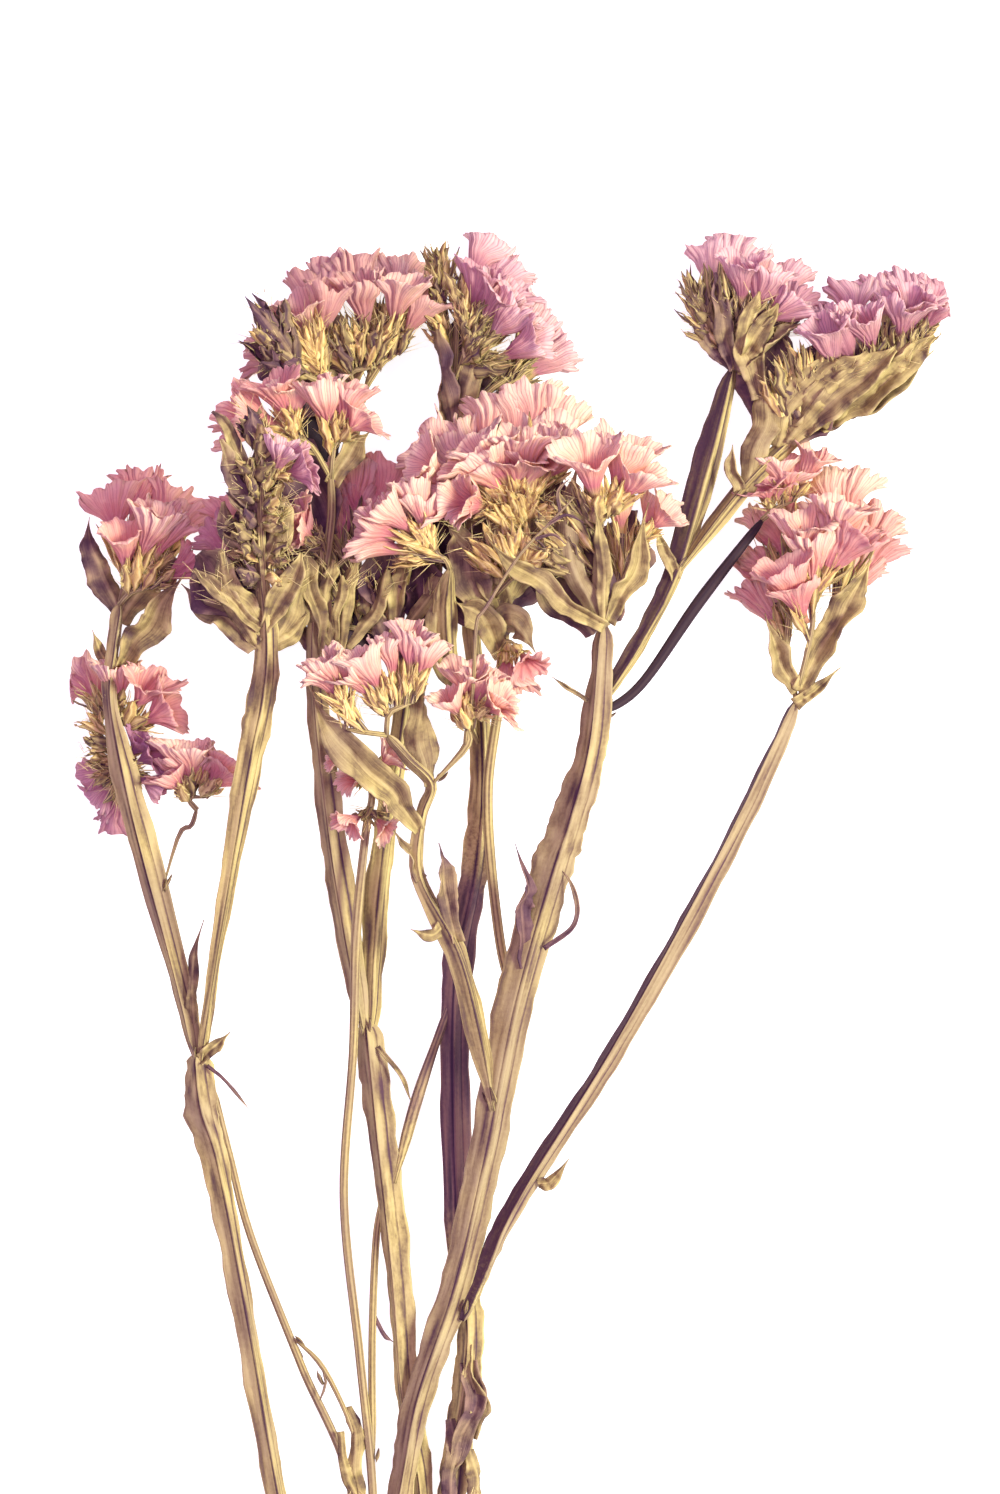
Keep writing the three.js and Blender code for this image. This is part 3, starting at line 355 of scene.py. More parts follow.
# %% The middle stem
STEMS["stem_middle"] = {
    "routes": [
        [[-16, -172, 1, 2.6], [-15, -150, 2, 2.6], [-12.8, -120, 3, 2.8], [-12.6, -101.5, 4, 3],
         [-15, -86.5, 6, 3.4], [-16.5, -67, 8.2, 3.6], [-19.5, -41.5, 10.5, 4],
         [-21.5, -26, 11, 4]],
        [[-21.5, -29, 11, 2.6], [-25.5, -6.5, 12.5, 3.8], [-28, 13, 14.5, 3.4],
         [-29.5, 30.5, 17, 2.6], [-29, 44, 16, 2], [-26.5, 55, 9, 1.7], [-22, 74, 8.5, 1.5]],
        [[-21, -30, 10.7, 2.6], [-20, -13, 9.5, 3.6], [-18.5, 1.5, 9, 3.6], [-15, 27, 9.5, 2.6],
         [-16, 36, 10, 2]],
        [[-17, -52, 9.4, 2], [-13.5, -39, 9.5, 2.2], [-9.8, -28, 8.6, 1.5], [-6.8, -20, 7, 1.2]],
        [[-28.8, 41, 16.6, 1.6], [-27, 54, 17.5, 1.6], [-27, 62, 19, 1.4]],
    ],
    "blades": [
        [[-19.6, -30, 11.4, 1], [-16, -34.5, 12.4, 1], [-14, -39, 10, 1]],
        [[-29, 33, 17, 1.4], [-33, 39, 15, 2.4], [-34.5, 47, 14, 0.9]],
        [[-15, 28, 10, 1.4], [-11.2, 35, 11, 2.4], [-12, 43, 12, 0.9]],
        [[-15.5, 30, 10, 1.4], [-19, 37, 14, 2.4], [-21, 45, 15, 0.9]],
        [[-27, 60, 18, 1.6], [-24, 66, 18, 3], [-21, 69, 18, 1]],
    ],
    "heads": {
        "calyxes_arched_head": [
            new_comb([[-22, 73.5, 8.5], [-26, 79, 9], [-31, 78.5, 9]],
                     [[-40, 83, 4], [-36.5, 90, 2], [-32, 94.5, 1.6], [-26, 96.5, 1.6]], 4),
            new_comb([[-22, 73.5, 8.5], [-20.5, 79, 9], [-17.5, 82.5, 9]],
                     [[-25, 96.5, 1.6], [-18.5, 98, 2], [-12, 94, 3]], 4),
            new_comb([[-23, 75, 9.5], [-27, 77, 11.5], [-29.5, 76.5, 12]],
                     [[-39, 84.5, 14], [-34.5, 90.5, 14], [-27, 92, 15]], 3),
            new_comb([[-22, 75, 9.5], [-19, 79.5, 11.5], [-16.5, 81, 12]],
                     [[-24, 93, 15], [-17, 95, 14], [-12, 91, 14]], 3),
        ],
        "calyxes_upper_left_head": [
            new_comb([[-27, 61, 19], [-30, 66, 20.5], [-33, 67.5, 21]],
                     [[-44.5, 70, 20], [-41.5, 74, 21], [-37, 77.5, 22], [-32, 76.5, 22]], 4),
            new_comb([[-27, 61, 19], [-26.5, 66, 20.5], [-25.5, 67, 21]],
                     [[-28, 76.5, 23], [-24.5, 77.5, 22], [-20.5, 71.5, 22]], 3),
        ],
        "calyxes_shaded_head": [
            new_comb([[-28.8, 43, 15.5], [-25, 48, 13], [-19.5, 49, 12]],
                     [[-32, 57, 11], [-27, 62, 11], [-18.5, 63.5, 10], [-14.5, 61, 10]], 5),
            new_comb([[-28.2, 46, 17], [-28.5, 49.5, 19], [-28, 51, 19]],
                     [[-33.5, 56.5, 20], [-33.5, 51, 20]], 2, size=0.8),
        ],
    },
    "bracts": [
        new_comb([[-15.5, 33, 10], [-20, 36.5, 11], [-26, 37.5, 12]],
                 [[-15, 48, 13], [-24, 47, 13], [-32, 44, 12]], 5, size=1.4),
        new_comb([[-22, 74, 9], [-24, 78, 11], [-20, 79, 12]],
                 [[-29, 86, 14], [-23, 88, 15], [-16, 88, 14]], 4),
        new_comb([[-24, 76, 10], [-27, 77, 12.5], [-29, 77, 13]],
                 [[-36.5, 84, 16], [-33, 88, 17.5], [-28.5, 88.5, 17]], 3, tone=0.1),
        new_comb([[-27, 76, 12], [-30, 77, 15], [-32, 78, 16.5]],
                 [[-39.5, 80, 19], [-41.5, 86, 19.5], [-39, 92, 19]],
                 3, size=1.25, tone=0.78, crumpled=True),
    ],
}
describe("stem_middle")

# %% [markdown]
# ### The back stem
#
# A wide, dark stem under the centre one. It carries the tall head and a fan of flowers in
# front.

# %% The back stem
STEMS["stem_back"] = {
    "routes": [
        [[-12.6, -170, 1, 2.6], [-11.9, -150, 2, 2.6], [-8.8, -125, 3, 2.8], [-8, -101.5, 4, 4],
         [-6, -86.5, 5.2, 4], [-5, -75, 5.8, 3.6], [-6.5, -59, 6.6, 4], [-7, -22.5, 8.5, 4],
         [-3.5, 0, 9, 3.8], [-3, 19, 9.5, 3], [-5.5, 48, 10, 2], [-7, 70.5, 10, 1.8],
         [-9.5, 92, 9.5, 1]],
        [[-3, 18, 9.6, 1.8], [-7.5, 30, 15, 2.6], [-8.6, 40, 21, 3.2], [-8, 46.5, 25, 1.6]],
    ],
    "blades": [
        [[-5, -93, 4.6, 2], [-3.8, -86, 6, 2.6], [-4.6, -78, 6.6, 1]],
        [[-5, 24, 12, 1.4], [-10.5, 35, 18, 2.8], [-9.5, 45, 24, 1]],
        [[-6, 50, 10, 1.2], [-8, 58, 10.5, 1.6], [-8.6, 66, 10.5, 0.8]],
        [[-7, 68, 10, 1.4], [-9.3, 76, 10, 1.7], [-10, 86, 10.5, 0.8]],
    ],
    "heads": {
        "calyxes_tall_head": [
            new_comb([[-6.8, 69, 10], [-2, 75, 9.5], [1.5, 77.5, 9.5]],
                     [[11.5, 81, 4], [9, 85.5, 3], [6, 90, 3]], 4),
            new_comb([[-7.4, 76, 10], [-7, 84, 9.5], [-7, 90, 9.5]],
                     [[5.5, 91.5, 3], [1.5, 97.5, 2], [-2.5, 101, 2]], 4),
            new_comb([[-7.2, 73, 10], [-5, 80, 12], [-5, 84, 12.5]],
                     [[8.5, 82, 15], [3, 90, 15], [-1.5, 96, 14]], 4),
        ],
        "calyxes_front_left_fan": [
            new_comb([[-8, 46.5, 25], [-8.8, 48, 26], [-11, 48.5, 26]],
                     [[-23.5, 50.5, 26], [-22, 54.5, 26], [-18.5, 58, 26], [-14.5, 60, 26],
                      [-12, 58, 27]], 5, size=0.9),
        ],
    },
    "bracts": [
        new_comb([[-7.2, 74, 10], [-8.5, 84, 10], [-9.3, 91, 9.8]],
                 [[-10.5, 87, 13], [-12, 93, 13], [-9.5, 100, 12]], 4),
        new_comb([[-7.6, 76, 10.5], [-6, 80, 13], [-5, 84, 13]],
                 [[0, 82, 15], [-3, 89, 15], [-7, 95, 14]], 4),
    ],
}
describe("stem_back")

# %% [markdown]
# ### The slender stem
#
# It has a second thin stalk from its foot, and carries one small, withered head.

# %% The slender stem
STEMS["stem_slender"] = {
    "routes": [
        [[-20, -166, 1.4, 1.6], [-20, -150, 1.8, 1.6], [-20.3, -125, 3.2, 1.6],
         [-20.5, -101.5, 6, 1.6], [-22.5, -80, 8.5, 1.6], [-25, -54.5, 11.5, 1.6],
         [-23.5, -30.5, 15, 1.6], [-23, -12, 16.8, 1.8], [-21.5, 4, 17.5, 1.5],
         [-20.5, 11, 17.5, 1.3], [-23, 16, 17.5, 1]],
        [[-20.4, -98, 6.2, 1.4], [-20.6, -80, 6.8, 1.4], [-20, -62, 6.6, 1.4],
         [-18.8, -54, 6.4, 1.2]],
    ],
    "blades": [
        [[-20.4, -73, 6.7, 0.9], [-18.6, -76.3, 7.4, 1], [-17.2, -77.6, 7.4, 0.6]],
    ],
    "heads": {
        "calyxes_withered_head": [
            new_comb([[-21.6, 2, 17.5], [-20.5, 11, 17.5], [-22, 15, 17.5]],
                     [[-25, 4, 20], [-24.5, 11, 20], [-27, 18, 19]], 3, size=0.62),
            new_comb([[-21.6, 2, 17.5], [-20.5, 10, 17.5], [-20.5, 14, 17.5]],
                     [[-17.5, 5, 19], [-17.5, 11, 19], [-17, 17, 18]], 3, size=0.62),
        ],
    },
    "bracts": [],
}
describe("stem_slender")

# %% [markdown]
# ### The thin stem
#
# It is tucked under the left stem, with a twig near its foot and no flowers.

# %% The thin stem
STEMS["stem_thin"] = {
    "routes": [
        [[-22.5, -157, 1.4, 1.5], [-23, -130, 2.6, 1.5], [-24, -101.5, 4.5, 1.5],
         [-32, -81.5, 5, 1.5], [-40, -61, 5.6, 1.5], [-43.4, -48, 6.3, 1.4], [-46, -37, 7.3, 1.2]],
        [[-34, -76.5, 5, 1], [-29, -81, 6.6, 1], [-25.2, -88, 7, 0.9], [-23.4, -93, 7, 0.9]],
        [[-29, -81, 6.6, 0.8], [-28, -84, 7, 0.8], [-29, -87, 7.2, 0.7]],
    ],
    "blades": [],
    "heads": {},
    "bracts": [],
}
describe("stem_thin")

# %% [markdown]
# ## The leaves that fill the heads
#
# Small dry leaves stand between the flowers and behind them, and make a head look dense. They
# aren't on the plain model. Each entry is a stem, a tone and the leaf's route. The tone goes from
# straw at 0 over olive at 0.5 to brown at 1, and past that to nearly black as painted shade. The
# wide, dark leaves low behind the heads stand for the shade between them. A rule could scatter
# such leaves over every head, but it wouldn't know which heads are dense and which lie in shade.

# %% Filling leaves, in millimetres
FILLING_LEAVES = [
    ("stem_middle", 0.62, [[-28.5, 33, 17.5, 0.9], [-29.5, 41, 19, 1.8], [-31, 49, 20, 2.4]]),
    ("stem_middle", 0.75, [[-27, 33, 17, 0.8], [-27.3, 41, 18, 1.3], [-27, 48, 19, 1.9]]),
    ("stem_middle", 0.55, [[-25.5, 33.5, 16, 0.9], [-24.4, 40, 18, 1.9], [-22.6, 47.5, 19, 2.2]]),
    ("stem_middle", 0.72, [[-24.5, 34, 15, 0.9], [-20.5, 39, 16, 1.6], [-18, 46.5, 17, 2]]),
    ("stem_middle", 1.35, [[-27, 32, 11, 3], [-24, 39, 11, 8.5], [-22, 47, 11, 6]]),
    ("stem_middle", 1.3, [[-28, 34, 12, 2], [-31, 41, 12, 6.5], [-33, 49, 12, 4]]),
    ("stem_middle", 0.9, [[-28, 38, 12, 2], [-27, 46, 11, 7], [-24, 54, 10, 5]]),
    ("stem_centre", 0.62, [[-0.5, 38, 16.5, 2], [-5, 45, 19, 4.6], [-6.5, 53, 21, 2.6]]),
    ("stem_centre", 0.7, [[0.5, 40, 17, 2], [3, 47, 20, 5.2], [5, 55, 22, 3]]),
    ("stem_centre", 0.95, [[15, 36, 21, 2], [9, 44, 17, 6], [8, 53, 17, 4]]),
    ("stem_centre", 0.95, [[0, 37, 14, 2], [-6, 43, 13, 6], [-4, 52, 13, 4]]),
    ("stem_centre", 0.85, [[0.5, 41, 15, 2], [5, 44, 14, 6], [8, 50, 14, 4]]),
    ("stem_centre", 0.9, [[37.5, 78.5, 11, 1.2], [33.5, 84, 13, 2], [30.5, 92, 13, 1.2]]),
    ("stem_centre", 0.85, [[37.5, 78.5, 11.5, 1.2], [36.2, 85, 14, 2.2], [34.5, 94, 15, 1.2]]),
    ("stem_centre", 0.6, [[37.8, 78.5, 11, 1.2], [41, 83.5, 14.5, 2.2], [44.5, 89, 15.5, 1.4]]),
    ("stem_centre", 0.5, [[38, 78.5, 11, 1.2], [43, 82.5, 13.5, 2.4], [48, 86, 14.5, 1.4]]),
    ("stem_centre", 0.95, [[38, 79, 9, 2], [36.5, 86, 7, 8], [36, 93, 6, 6]]),
    ("stem_centre", 0.62, [[44.5, 66, 11.5, 2], [48, 74, 14, 4.6], [54, 80, 16, 3.2]]),
    ("stem_centre", 0.55, [[46, 67, 12, 2], [52, 74, 15, 4.4], [59, 81, 16.5, 3]]),
    ("stem_centre", 0.6, [[48.5, 68.5, 12, 2], [56, 75.5, 15, 4.2], [63, 82, 16, 2.8]]),
    ("stem_centre", 0.5, [[51, 69.5, 12, 2], [59, 76, 14.5, 3.8], [67, 83, 15, 2.4]]),
    ("stem_centre", 0.58, [[53, 70.5, 11, 2], [62, 77, 13.5, 3.4], [69.5, 84, 14, 2]]),
    ("stem_centre", 0.9, [[46, 68, 9, 3], [54, 76, 8, 8], [62, 84, 7, 6]]),
    ("stem_centre", 0.95, [[42.5, 70, 10, 3], [42, 78, 10.5, 6], [44, 87, 10.5, 5]]),
    ("stem_centre", 0.8, [[42, 74, 12, 2], [40.5, 81, 12.5, 4], [41, 88, 13, 3]]),
    ("stem_centre", 0.85, [[0, 38, 14, 2], [-2.5, 46, 14, 4.6], [-3, 56, 14, 4.4]]),
    ("stem_centre", 0.55, [[1, 38, 16, 2], [-2, 44, 18, 2.8], [-3.5, 51, 20, 2]]),
    ("stem_middle", 0.68, [[-17, 36, 14, 0.9], [-16, 43, 15.5, 1.9], [-14, 50, 16.5, 1.9]]),
    ("stem_middle", 0.75, [[-14, 36, 12, 0.9], [-12.5, 42, 13.5, 1.8], [-10.5, 50, 14.5, 1.8]]),
    ("stem_centre", 0.65, [[37.8, 79, 12, 1.2], [39.5, 84.5, 15.5, 2], [41, 91, 16, 1.2]]),
    ("stem_centre", 0.95, [[16, 38, 20, 3], [13.5, 46, 15, 8], [12.5, 56, 14, 7]]),
    ("stem_centre", 0.95, [[17, 38, 20, 3], [19.5, 46, 16, 6.5], [21, 56, 15, 5]]),
    ("stem_centre", 0.95, [[14, 38, 19, 1.6], [7, 45, 14, 5], [1, 52, 13, 5]]),
    ("stem_back", 0.8, [[-5, -81, 5, 2], [-4, -88, 6.4, 2.2], [-6, -94, 6.8, 2],
                        [-8, -99, 6, 1.4]]),
    ("stem_back", 0.78, [[-8, -90, 6, 1.4], [-7, -95, 7.4, 2.2], [-8.6, -100, 7, 2],
                         [-8, -106, 6, 2]]),
    ("stem_back", 0.72, [[-5, -95, 5, 1.4], [-3.6, -99, 6, 2], [-4.6, -104, 6, 2]]),
    ("stem_thin", 0.65, [[-24.5, -88, 7, 1], [-23.4, -93, 7.6, 1.8], [-22.4, -99, 7, 1.6],
                         [-22.8, -105, 6, 1.2]]),
    ("stem_thin", 0.7, [[-25.6, -92, 7, 0.8], [-24.6, -98, 7.4, 1.4], [-22.4, -104, 6, 1.2]]),
    ("stem_back", 0.85, [[-7, 68, 11, 1.4], [-8.5, 76, 13, 2.6], [-10, 85, 14, 2]]),
    ("stem_back", 0.82, [[-7, 70, 11, 1.4], [-4.5, 77, 13, 2.8], [-4, 84, 14, 2]]),
    ("stem_back", 0.95, [[-7, 68, 7, 2], [-4.6, 78, 6, 4.4], [-4.8, 89, 6, 4]]),
    ("stem_left", 0.4, [[-61, 38, 11, 2], [-57, 44.5, 12.5, 4.6], [-52.5, 49, 13, 3]]),
    ("stem_left", 1.0, [[-37.5, 36, 21, 3], [-43, 43, 20, 7], [-48, 49, 20, 5]]),
    ("stem_left", 0.6, [[-37, 34, 24, 2], [-33, 40, 23, 4.6], [-32, 47, 23, 2.6]]),
    ("stem_left", 0.85, [[-38, 44, 25.5, 1.2], [-41.5, 50, 26.5, 2.2], [-44, 57, 27.5, 1.8]]),
    ("stem_left", 0.6, [[-38, 46, 25.5, 1.4], [-35.5, 52, 27, 2.8], [-34.5, 58, 28, 2]]),
    ("stem_left", 0.95, [[-38.2, 52, 26, 1.2], [-41.5, 59, 28, 1.8], [-44, 67, 29, 1.6]]),
    ("stem_left", 0.9, [[-38.4, 55, 26.5, 1.2], [-37.4, 62, 28, 1.8], [-39, 71, 29.5, 1.4]]),
    ("stem_left", 0.85, [[-38, 46, 24, 2], [-38.5, 56, 24, 7], [-38.5, 66, 25, 4]]),
    ("stem_left", 0.55, [[-37.6, 37, 25, 1.4], [-41.8, 42, 26.5, 3], [-45, 49, 27.5, 2]]),
    ("stem_left", 0.5, [[-37.4, 37, 25, 1.4], [-34.4, 42, 26.5, 3], [-31.8, 49, 27.5, 2]]),
    ("stem_centre", 0.9, [[1.5, 42, 15, 2], [6.5, 52, 15, 8], [9, 62, 15, 7]]),
    ("stem_centre", 0.9, [[0.5, 42, 14, 2], [-1.5, 50, 13, 7], [-3, 60, 13, 6]]),
    ("stem_middle", 0.85, [[-27, 52, 15, 2], [-29, 60, 15, 6], [-34, 68, 15, 5]]),
    ("stem_middle", 0.9, [[-22.5, 71, 8, 2], [-31, 75, 8, 7], [-38, 82, 7, 5]]),
    ("stem_middle", 0.85, [[-22.5, 72, 8, 2], [-27, 80, 8, 8], [-28, 88, 7, 6]]),
    ("stem_middle", 1.25, [[-17, 38, 11, 2], [-19.5, 45, 11.5, 6], [-21, 52, 11.5, 4]]),
    ("stem_middle", 1.2, [[-14, 37, 11, 2], [-13, 44, 11.5, 6], [-12.5, 52, 11.5, 4]]),
    ("stem_middle", 0.65, [[-26.5, 34, 17, 0.8], [-29.6, 38, 18.5, 1.6], [-33, 43, 19, 1.8]]),
    ("stem_middle", 0.55, [[-16.5, 34, 12, 0.8], [-14, 38.5, 14, 1.6], [-10.5, 43, 15, 1.6]]),
    ("stem_middle", 0.45, [[-26.3, 35, 17, 0.8], [-25.6, 40, 19.5, 1.1], [-25, 45.5, 20.5, 1.5]]),
    ("stem_centre", 1.2, [[-6.5, 46, 11, 2], [-9, 52, 11, 5.5], [-9.5, 59, 11, 4]]),
    ("stem_middle", 1.3, [[-27.5, 64, 8, 2], [-29.5, 70, 8, 6], [-30.5, 77, 8, 5]]),
    ("stem_middle", 1.2, [[-30, 44, 10, 2], [-32.6, 49, 10, 4.5], [-33, 56, 10, 4]]),
    ("stem_left", 0.55, [[-37.8, 33, 24, 1.2], [-41, 38, 25.5, 2], [-45, 43, 26, 1.6]]),
    ("stem_left", 0.75, [[-38, 37, 25, 1.2], [-43.5, 41, 26, 1.8], [-49, 46, 26, 1.4]]),
    ("stem_left", 0.9, [[-38.6, 60, 26.5, 1.2], [-42, 66, 28, 1.6], [-46, 71, 28.5, 1.2]]),
    ("stem_centre", 0.35, [[-1, 44, 19, 1], [-4.5, 50, 21.5, 2], [-8, 55, 22, 1.8]]),
    ("stem_centre", 0.3, [[0, 44, 19, 1], [-0.5, 51, 22, 1.8], [-3, 58, 23, 1.6]]),
    ("stem_centre", 0.5, [[14, 45, 23, 1], [10.5, 51, 25, 2], [6, 56, 26, 1.8]]),
]
print("filling leaves:", len(FILLING_LEAVES))

# %% [markdown]
# ## Shader maths as plain expressions
#
# A material's pattern is arithmetic on numbers that change over the surface. In the node editor
# each sum or product is a node of its own, which is slow to write and slow to read. The class
# below wraps one output socket, so that `1 - fold * 0.5` adds those two Math nodes by itself.
# Finish.node() makes any other node, with its settings first and its sockets after them.

# %% Shader maths
COLOUR_A, COLOUR_B, COLOUR_OUT = 6, 7, 2  # the sockets of a Mix node that mixes colours


class Value:
    """One output socket of a node, with arithmetic."""

    def __init__(self, finish, socket):
        self.finish = finish
        self.socket = socket

    def maths(self, operation, first, second, clamp=False):
        settings = {"operation": operation, "use_clamp": clamp}
        return self.finish.node("ShaderNodeMath", settings, {0: first, 1: second})

    def __add__(self, other):
        return self.maths("ADD", self, other)

    def __radd__(self, other):
        return self.maths("ADD", other, self)

    def __sub__(self, other):
        return self.maths("SUBTRACT", self, other)

    def __rsub__(self, other):
        return self.maths("SUBTRACT", other, self)

    def __mul__(self, other):
        return self.maths("MULTIPLY", self, other)

    def __rmul__(self, other):
        return self.maths("MULTIPLY", other, self)

    def held(self):
        """The same, kept from 0 to 1."""
        return self.maths("ADD", self, 0.0, clamp=True)


class Finish:
    """One material, and the means to add nodes to it."""

    def __init__(self, name):
        self.material = bpy.data.materials.new(name)
        self.material.use_nodes = True
        self.tree = self.material.node_tree
        self.tree.nodes.clear()

    def node(self, kind, settings=None, sockets=None, output=0):
        made = self.tree.nodes.new(kind)
        for key, setting in (settings or {}).items():
            if key == "stops":
                set_stops(made.color_ramp, setting)
            else:
                setattr(made, key, setting)
        for key, given in (sockets or {}).items():
            if isinstance(given, Value):
                self.tree.links.new(given.socket, made.inputs[key])
            else:
                made.inputs[key].default_value = given
        return Value(self, made.outputs[output])

    def attribute(self, name):
        settings = {"attribute_type": "GEOMETRY", "attribute_name": name}
        return self.node("ShaderNodeAttribute", settings, output="Fac")

    def split(self, vector):
        first = self.node("ShaderNodeSeparateXYZ", None, {0: vector})
        outputs = first.socket.node.outputs
        return [Value(self, outputs[axis]) for axis in range(3)]

    def mix(self, low, high, share):
        """From colour low to colour high."""
        settings = {"data_type": "RGBA", "clamp_factor": True}
        sockets = {0: share, COLOUR_A: low, COLOUR_B: high}
        return self.node("ShaderNodeMix", settings, sockets, COLOUR_OUT)

    def spot(self):
        """Where a point is on the object."""
        return self.node("ShaderNodeTexCoord", output="Object")

    def noise(self, where, scale, detail=3.0, rough=0.55):
        sockets = {"Vector": where, "Scale": scale, "Detail": detail, "Roughness": rough}
        return self.node("ShaderNodeTexNoise", {"noise_dimensions": "3D"}, sockets, "Fac")

    def range(self, value, low, high):
        """0 at low and 1 at high, with soft ends. low may be the higher number."""
        settings = {"interpolation_type": "SMOOTHSTEP"}
        sockets = {"Value": value, "From Min": low, "From Max": high}
        return self.node("ShaderNodeMapRange", settings, sockets)

    def bump(self, height, distance, strength=1.0):
        sockets = {"Height": height, "Distance": distance, "Strength": strength}
        return self.node("ShaderNodeBump", None, sockets)

    def surface(self, shader):
        output = self.tree.nodes.new("ShaderNodeOutputMaterial")
        self.tree.links.new(shader.socket, output.inputs["Surface"])
        return self.material


def set_stops(ramp, stops):
    """stops are (place, colour) pairs. A ramp starts with two."""
    while len(ramp.elements) < len(stops):
        ramp.elements.new(1.0)
    for element, (place, tone) in zip(ramp.elements, stops):
        element.position = place
        element.color = tone


def colour(code):
    """A screen colour such as "e8a09b" as the linear red, green, blue and alpha that nodes use."""
    parts = [int(code[start:start + 2], 16) / 255 for start in (0, 2, 4)]
    linear = [part / 12.92 if part <= 0.04045 else ((part + 0.055) / 1.055) ** 2.4
              for part in parts]
    return (*linear, 1.0)


print("salmon as linear light:", [round(part, 3) for part in colour("e8a09b")])

# %% [markdown]
# ## Papery calyxes: the finish
#
# A dried calyx is as thin as tissue. Three things make it read as real: it glows a little where
# light comes through it, its veins run from foot to rim, and its colour changes on the way, from
# straw at the foot through a deeper pink to a pale, dry edge. The funnel's own UV map has the
# height as its second number, so the colour follows the flower whichever way it points. A texture
# on Object coordinates alone would run straight through all the flowers alike.

# %% The calyxes' finish
VEINS_ROUND = 52.0
VEIN_SHARE = 0.44
VEIN_WANDER = 7.0
# how much of the fold colour is painted as shade into the pleats' valleys
FOLD_SHADE_SHARE = 0.4
CRINKLE_SCALE = 900.0
CRINKLE_DEPTH = 0.3 * MM
WANDER_SCALE = 315.0
PATCH_SCALE = 120.0
THROUGH_SHARE = 0.3
STRAW_FOOT = colour("bfa468")
MAUVE = colour("ad7795")
LILAC = colour("cc9db2")


def calyx_finish(name, deep, middle, pale, vein_and_fold_shade, lilac_share):
    """Colours from foot to rim, of its veins and painted fold shade, and its patches' lilac."""
    made = Finish(name)
    around, up, _ = made.split(made.node("ShaderNodeUVMap", {"uv_map": "Along"}))
    # the pleats' painted shade: low in their valleys
    fold = made.attribute("relief")
    tone = made.attribute("tone")
    spot = made.spot()
    wander = made.noise(spot, WANDER_SCALE, 2.0)
    crinkle = made.noise(spot, CRINKLE_SCALE, 4.0, 0.65)
    patch = made.noise(spot, PATCH_SCALE, 3.0)

    height = (up + (wander - 0.5) * 0.2).held()
    stops = [(0.0, STRAW_FOOT), (0.2, STRAW_FOOT), (0.34, deep), (0.6, middle), (0.9, pale)]
    body = made.node("ShaderNodeValToRGB", {"stops": stops}, {0: height})
    wave = made.node("ShaderNodeMath", {"operation": "SINE"},
                     {0: around * (VEINS_ROUND * TAU) + wander * VEIN_WANDER})
    vein = made.range(wave, 0.4, 1.0) * made.range(up, 0.2, 0.45) * VEIN_SHARE
    veined = made.mix(body, vein_and_fold_shade, vein)
    # painted shade in the pleats' valleys
    shaded = made.mix(veined, vein_and_fold_shade, made.range(fold, 0.4, 0.0) * FOLD_SHADE_SHARE)
    own = made.mix(shaded, deep, made.range(tone, 0.45, 1.0) * 0.5)
    mauve = made.mix(own, MAUVE, made.range(tone, 1.0, 2.0) * 0.75)
    lilac = made.mix(mauve, LILAC, made.range(patch, 0.48, 0.7) * lilac_share)
    faded = made.mix(lilac, pale, made.range(patch, 0.46, 0.3) * 0.35)
    # painted highlight on the crinkles' high points
    crinkle_highlit = made.mix(faded, pale, made.range(crinkle, 0.52, 0.78) * 0.4)

    crease = made.bump(crinkle + vein * -0.6, CRINKLE_DEPTH, 0.7)
    sockets = {"Base Color": crinkle_highlit, "Roughness": 0.8, "Normal": crease,
               "Specular IOR Level": 0.25}
    front = made.node("ShaderNodeBsdfPrincipled", None, sockets)
    through = made.node("ShaderNodeBsdfTranslucent", None, {"Color": middle})
    both = made.node("ShaderNodeMixShader", None, {0: THROUGH_SHARE, 1: front, 2: through})
    return made.surface(both)


CALYX_FINISHES = {
    "pink_calyx": calyx_finish("pink_calyx", colour("d58388"), colour("f6ba9e"),
                               colour("ffe6c4"), colour("a85c70"), 0.12),
    "mauve_calyx": calyx_finish("mauve_calyx", colour("bc7886"), colour("e0a8a2"),
                                colour("f8d3c8"), colour("8b5671"), 0.22),
    "faded_calyx": calyx_finish("faded_calyx", colour("c88a80"), colour("e8b49c"),
                                colour("f8dabd"), colour("94636a"), 0.2),
}
print("calyx finishes:", ", ".join(CALYX_FINISHES))

# %% [markdown]
# ## Straw, wings and stems: the finish
#
# Everything else on the plant is dry stalk. Young bracts are bright straw, wings and leaves are
# olive, and what withered first is brown with a purple cast. One recipe serves all of them: the
# part's own tone goes from straw at 0 over olive at 0.5 to brown at 1, and past it to nearly
# black, which is painted shade for parts that lie in the shadow of others. Grooves and creases are
# painted in shade, keels and ridges in light, and edges lighter, as they are also paler of
# their own. On stems and leaves, tan takes the place of straw. Streaks along the part, larger
# patches and a fine grain break it up. Separate recipes would only differ by accident.

# %% The stalks' finish
STREAKS_ROUND = 26.0
STREAKS_ALONG = 1.2
STREAK_SHIFT = 40.0  # so that parts of different tones have different streaks
GRAIN_SCALE = 1500.0
GRAIN_SHARE = 0.3
PATCHES_SCALE = 85.0
RIB_DEPTH = 0.2 * MM
# each ramp runs from painted shade at 0 to painted light at 1
STRAW_STOPS = [(0.0, colour("8c6554")), (0.35, colour("ccae62")), (1.0, colour("fbe9a0"))]
TAN_STOPS = [(0.0, colour("50343e")), (0.4, colour("846f50")), (1.0, colour("aa9970"))]
OLIVE_STOPS = [(0.0, colour("4a303d")), (0.36, colour("7e6c48")), (0.64, colour("a8965e")),
               (1.0, colour("c8b878"))]
BROWN_STOPS = [(0.0, colour("3d2737")), (0.5, colour("60444b")), (1.0, colour("8c6d5f"))]
PAINTED_SHADOW_DARK = colour("24151f")


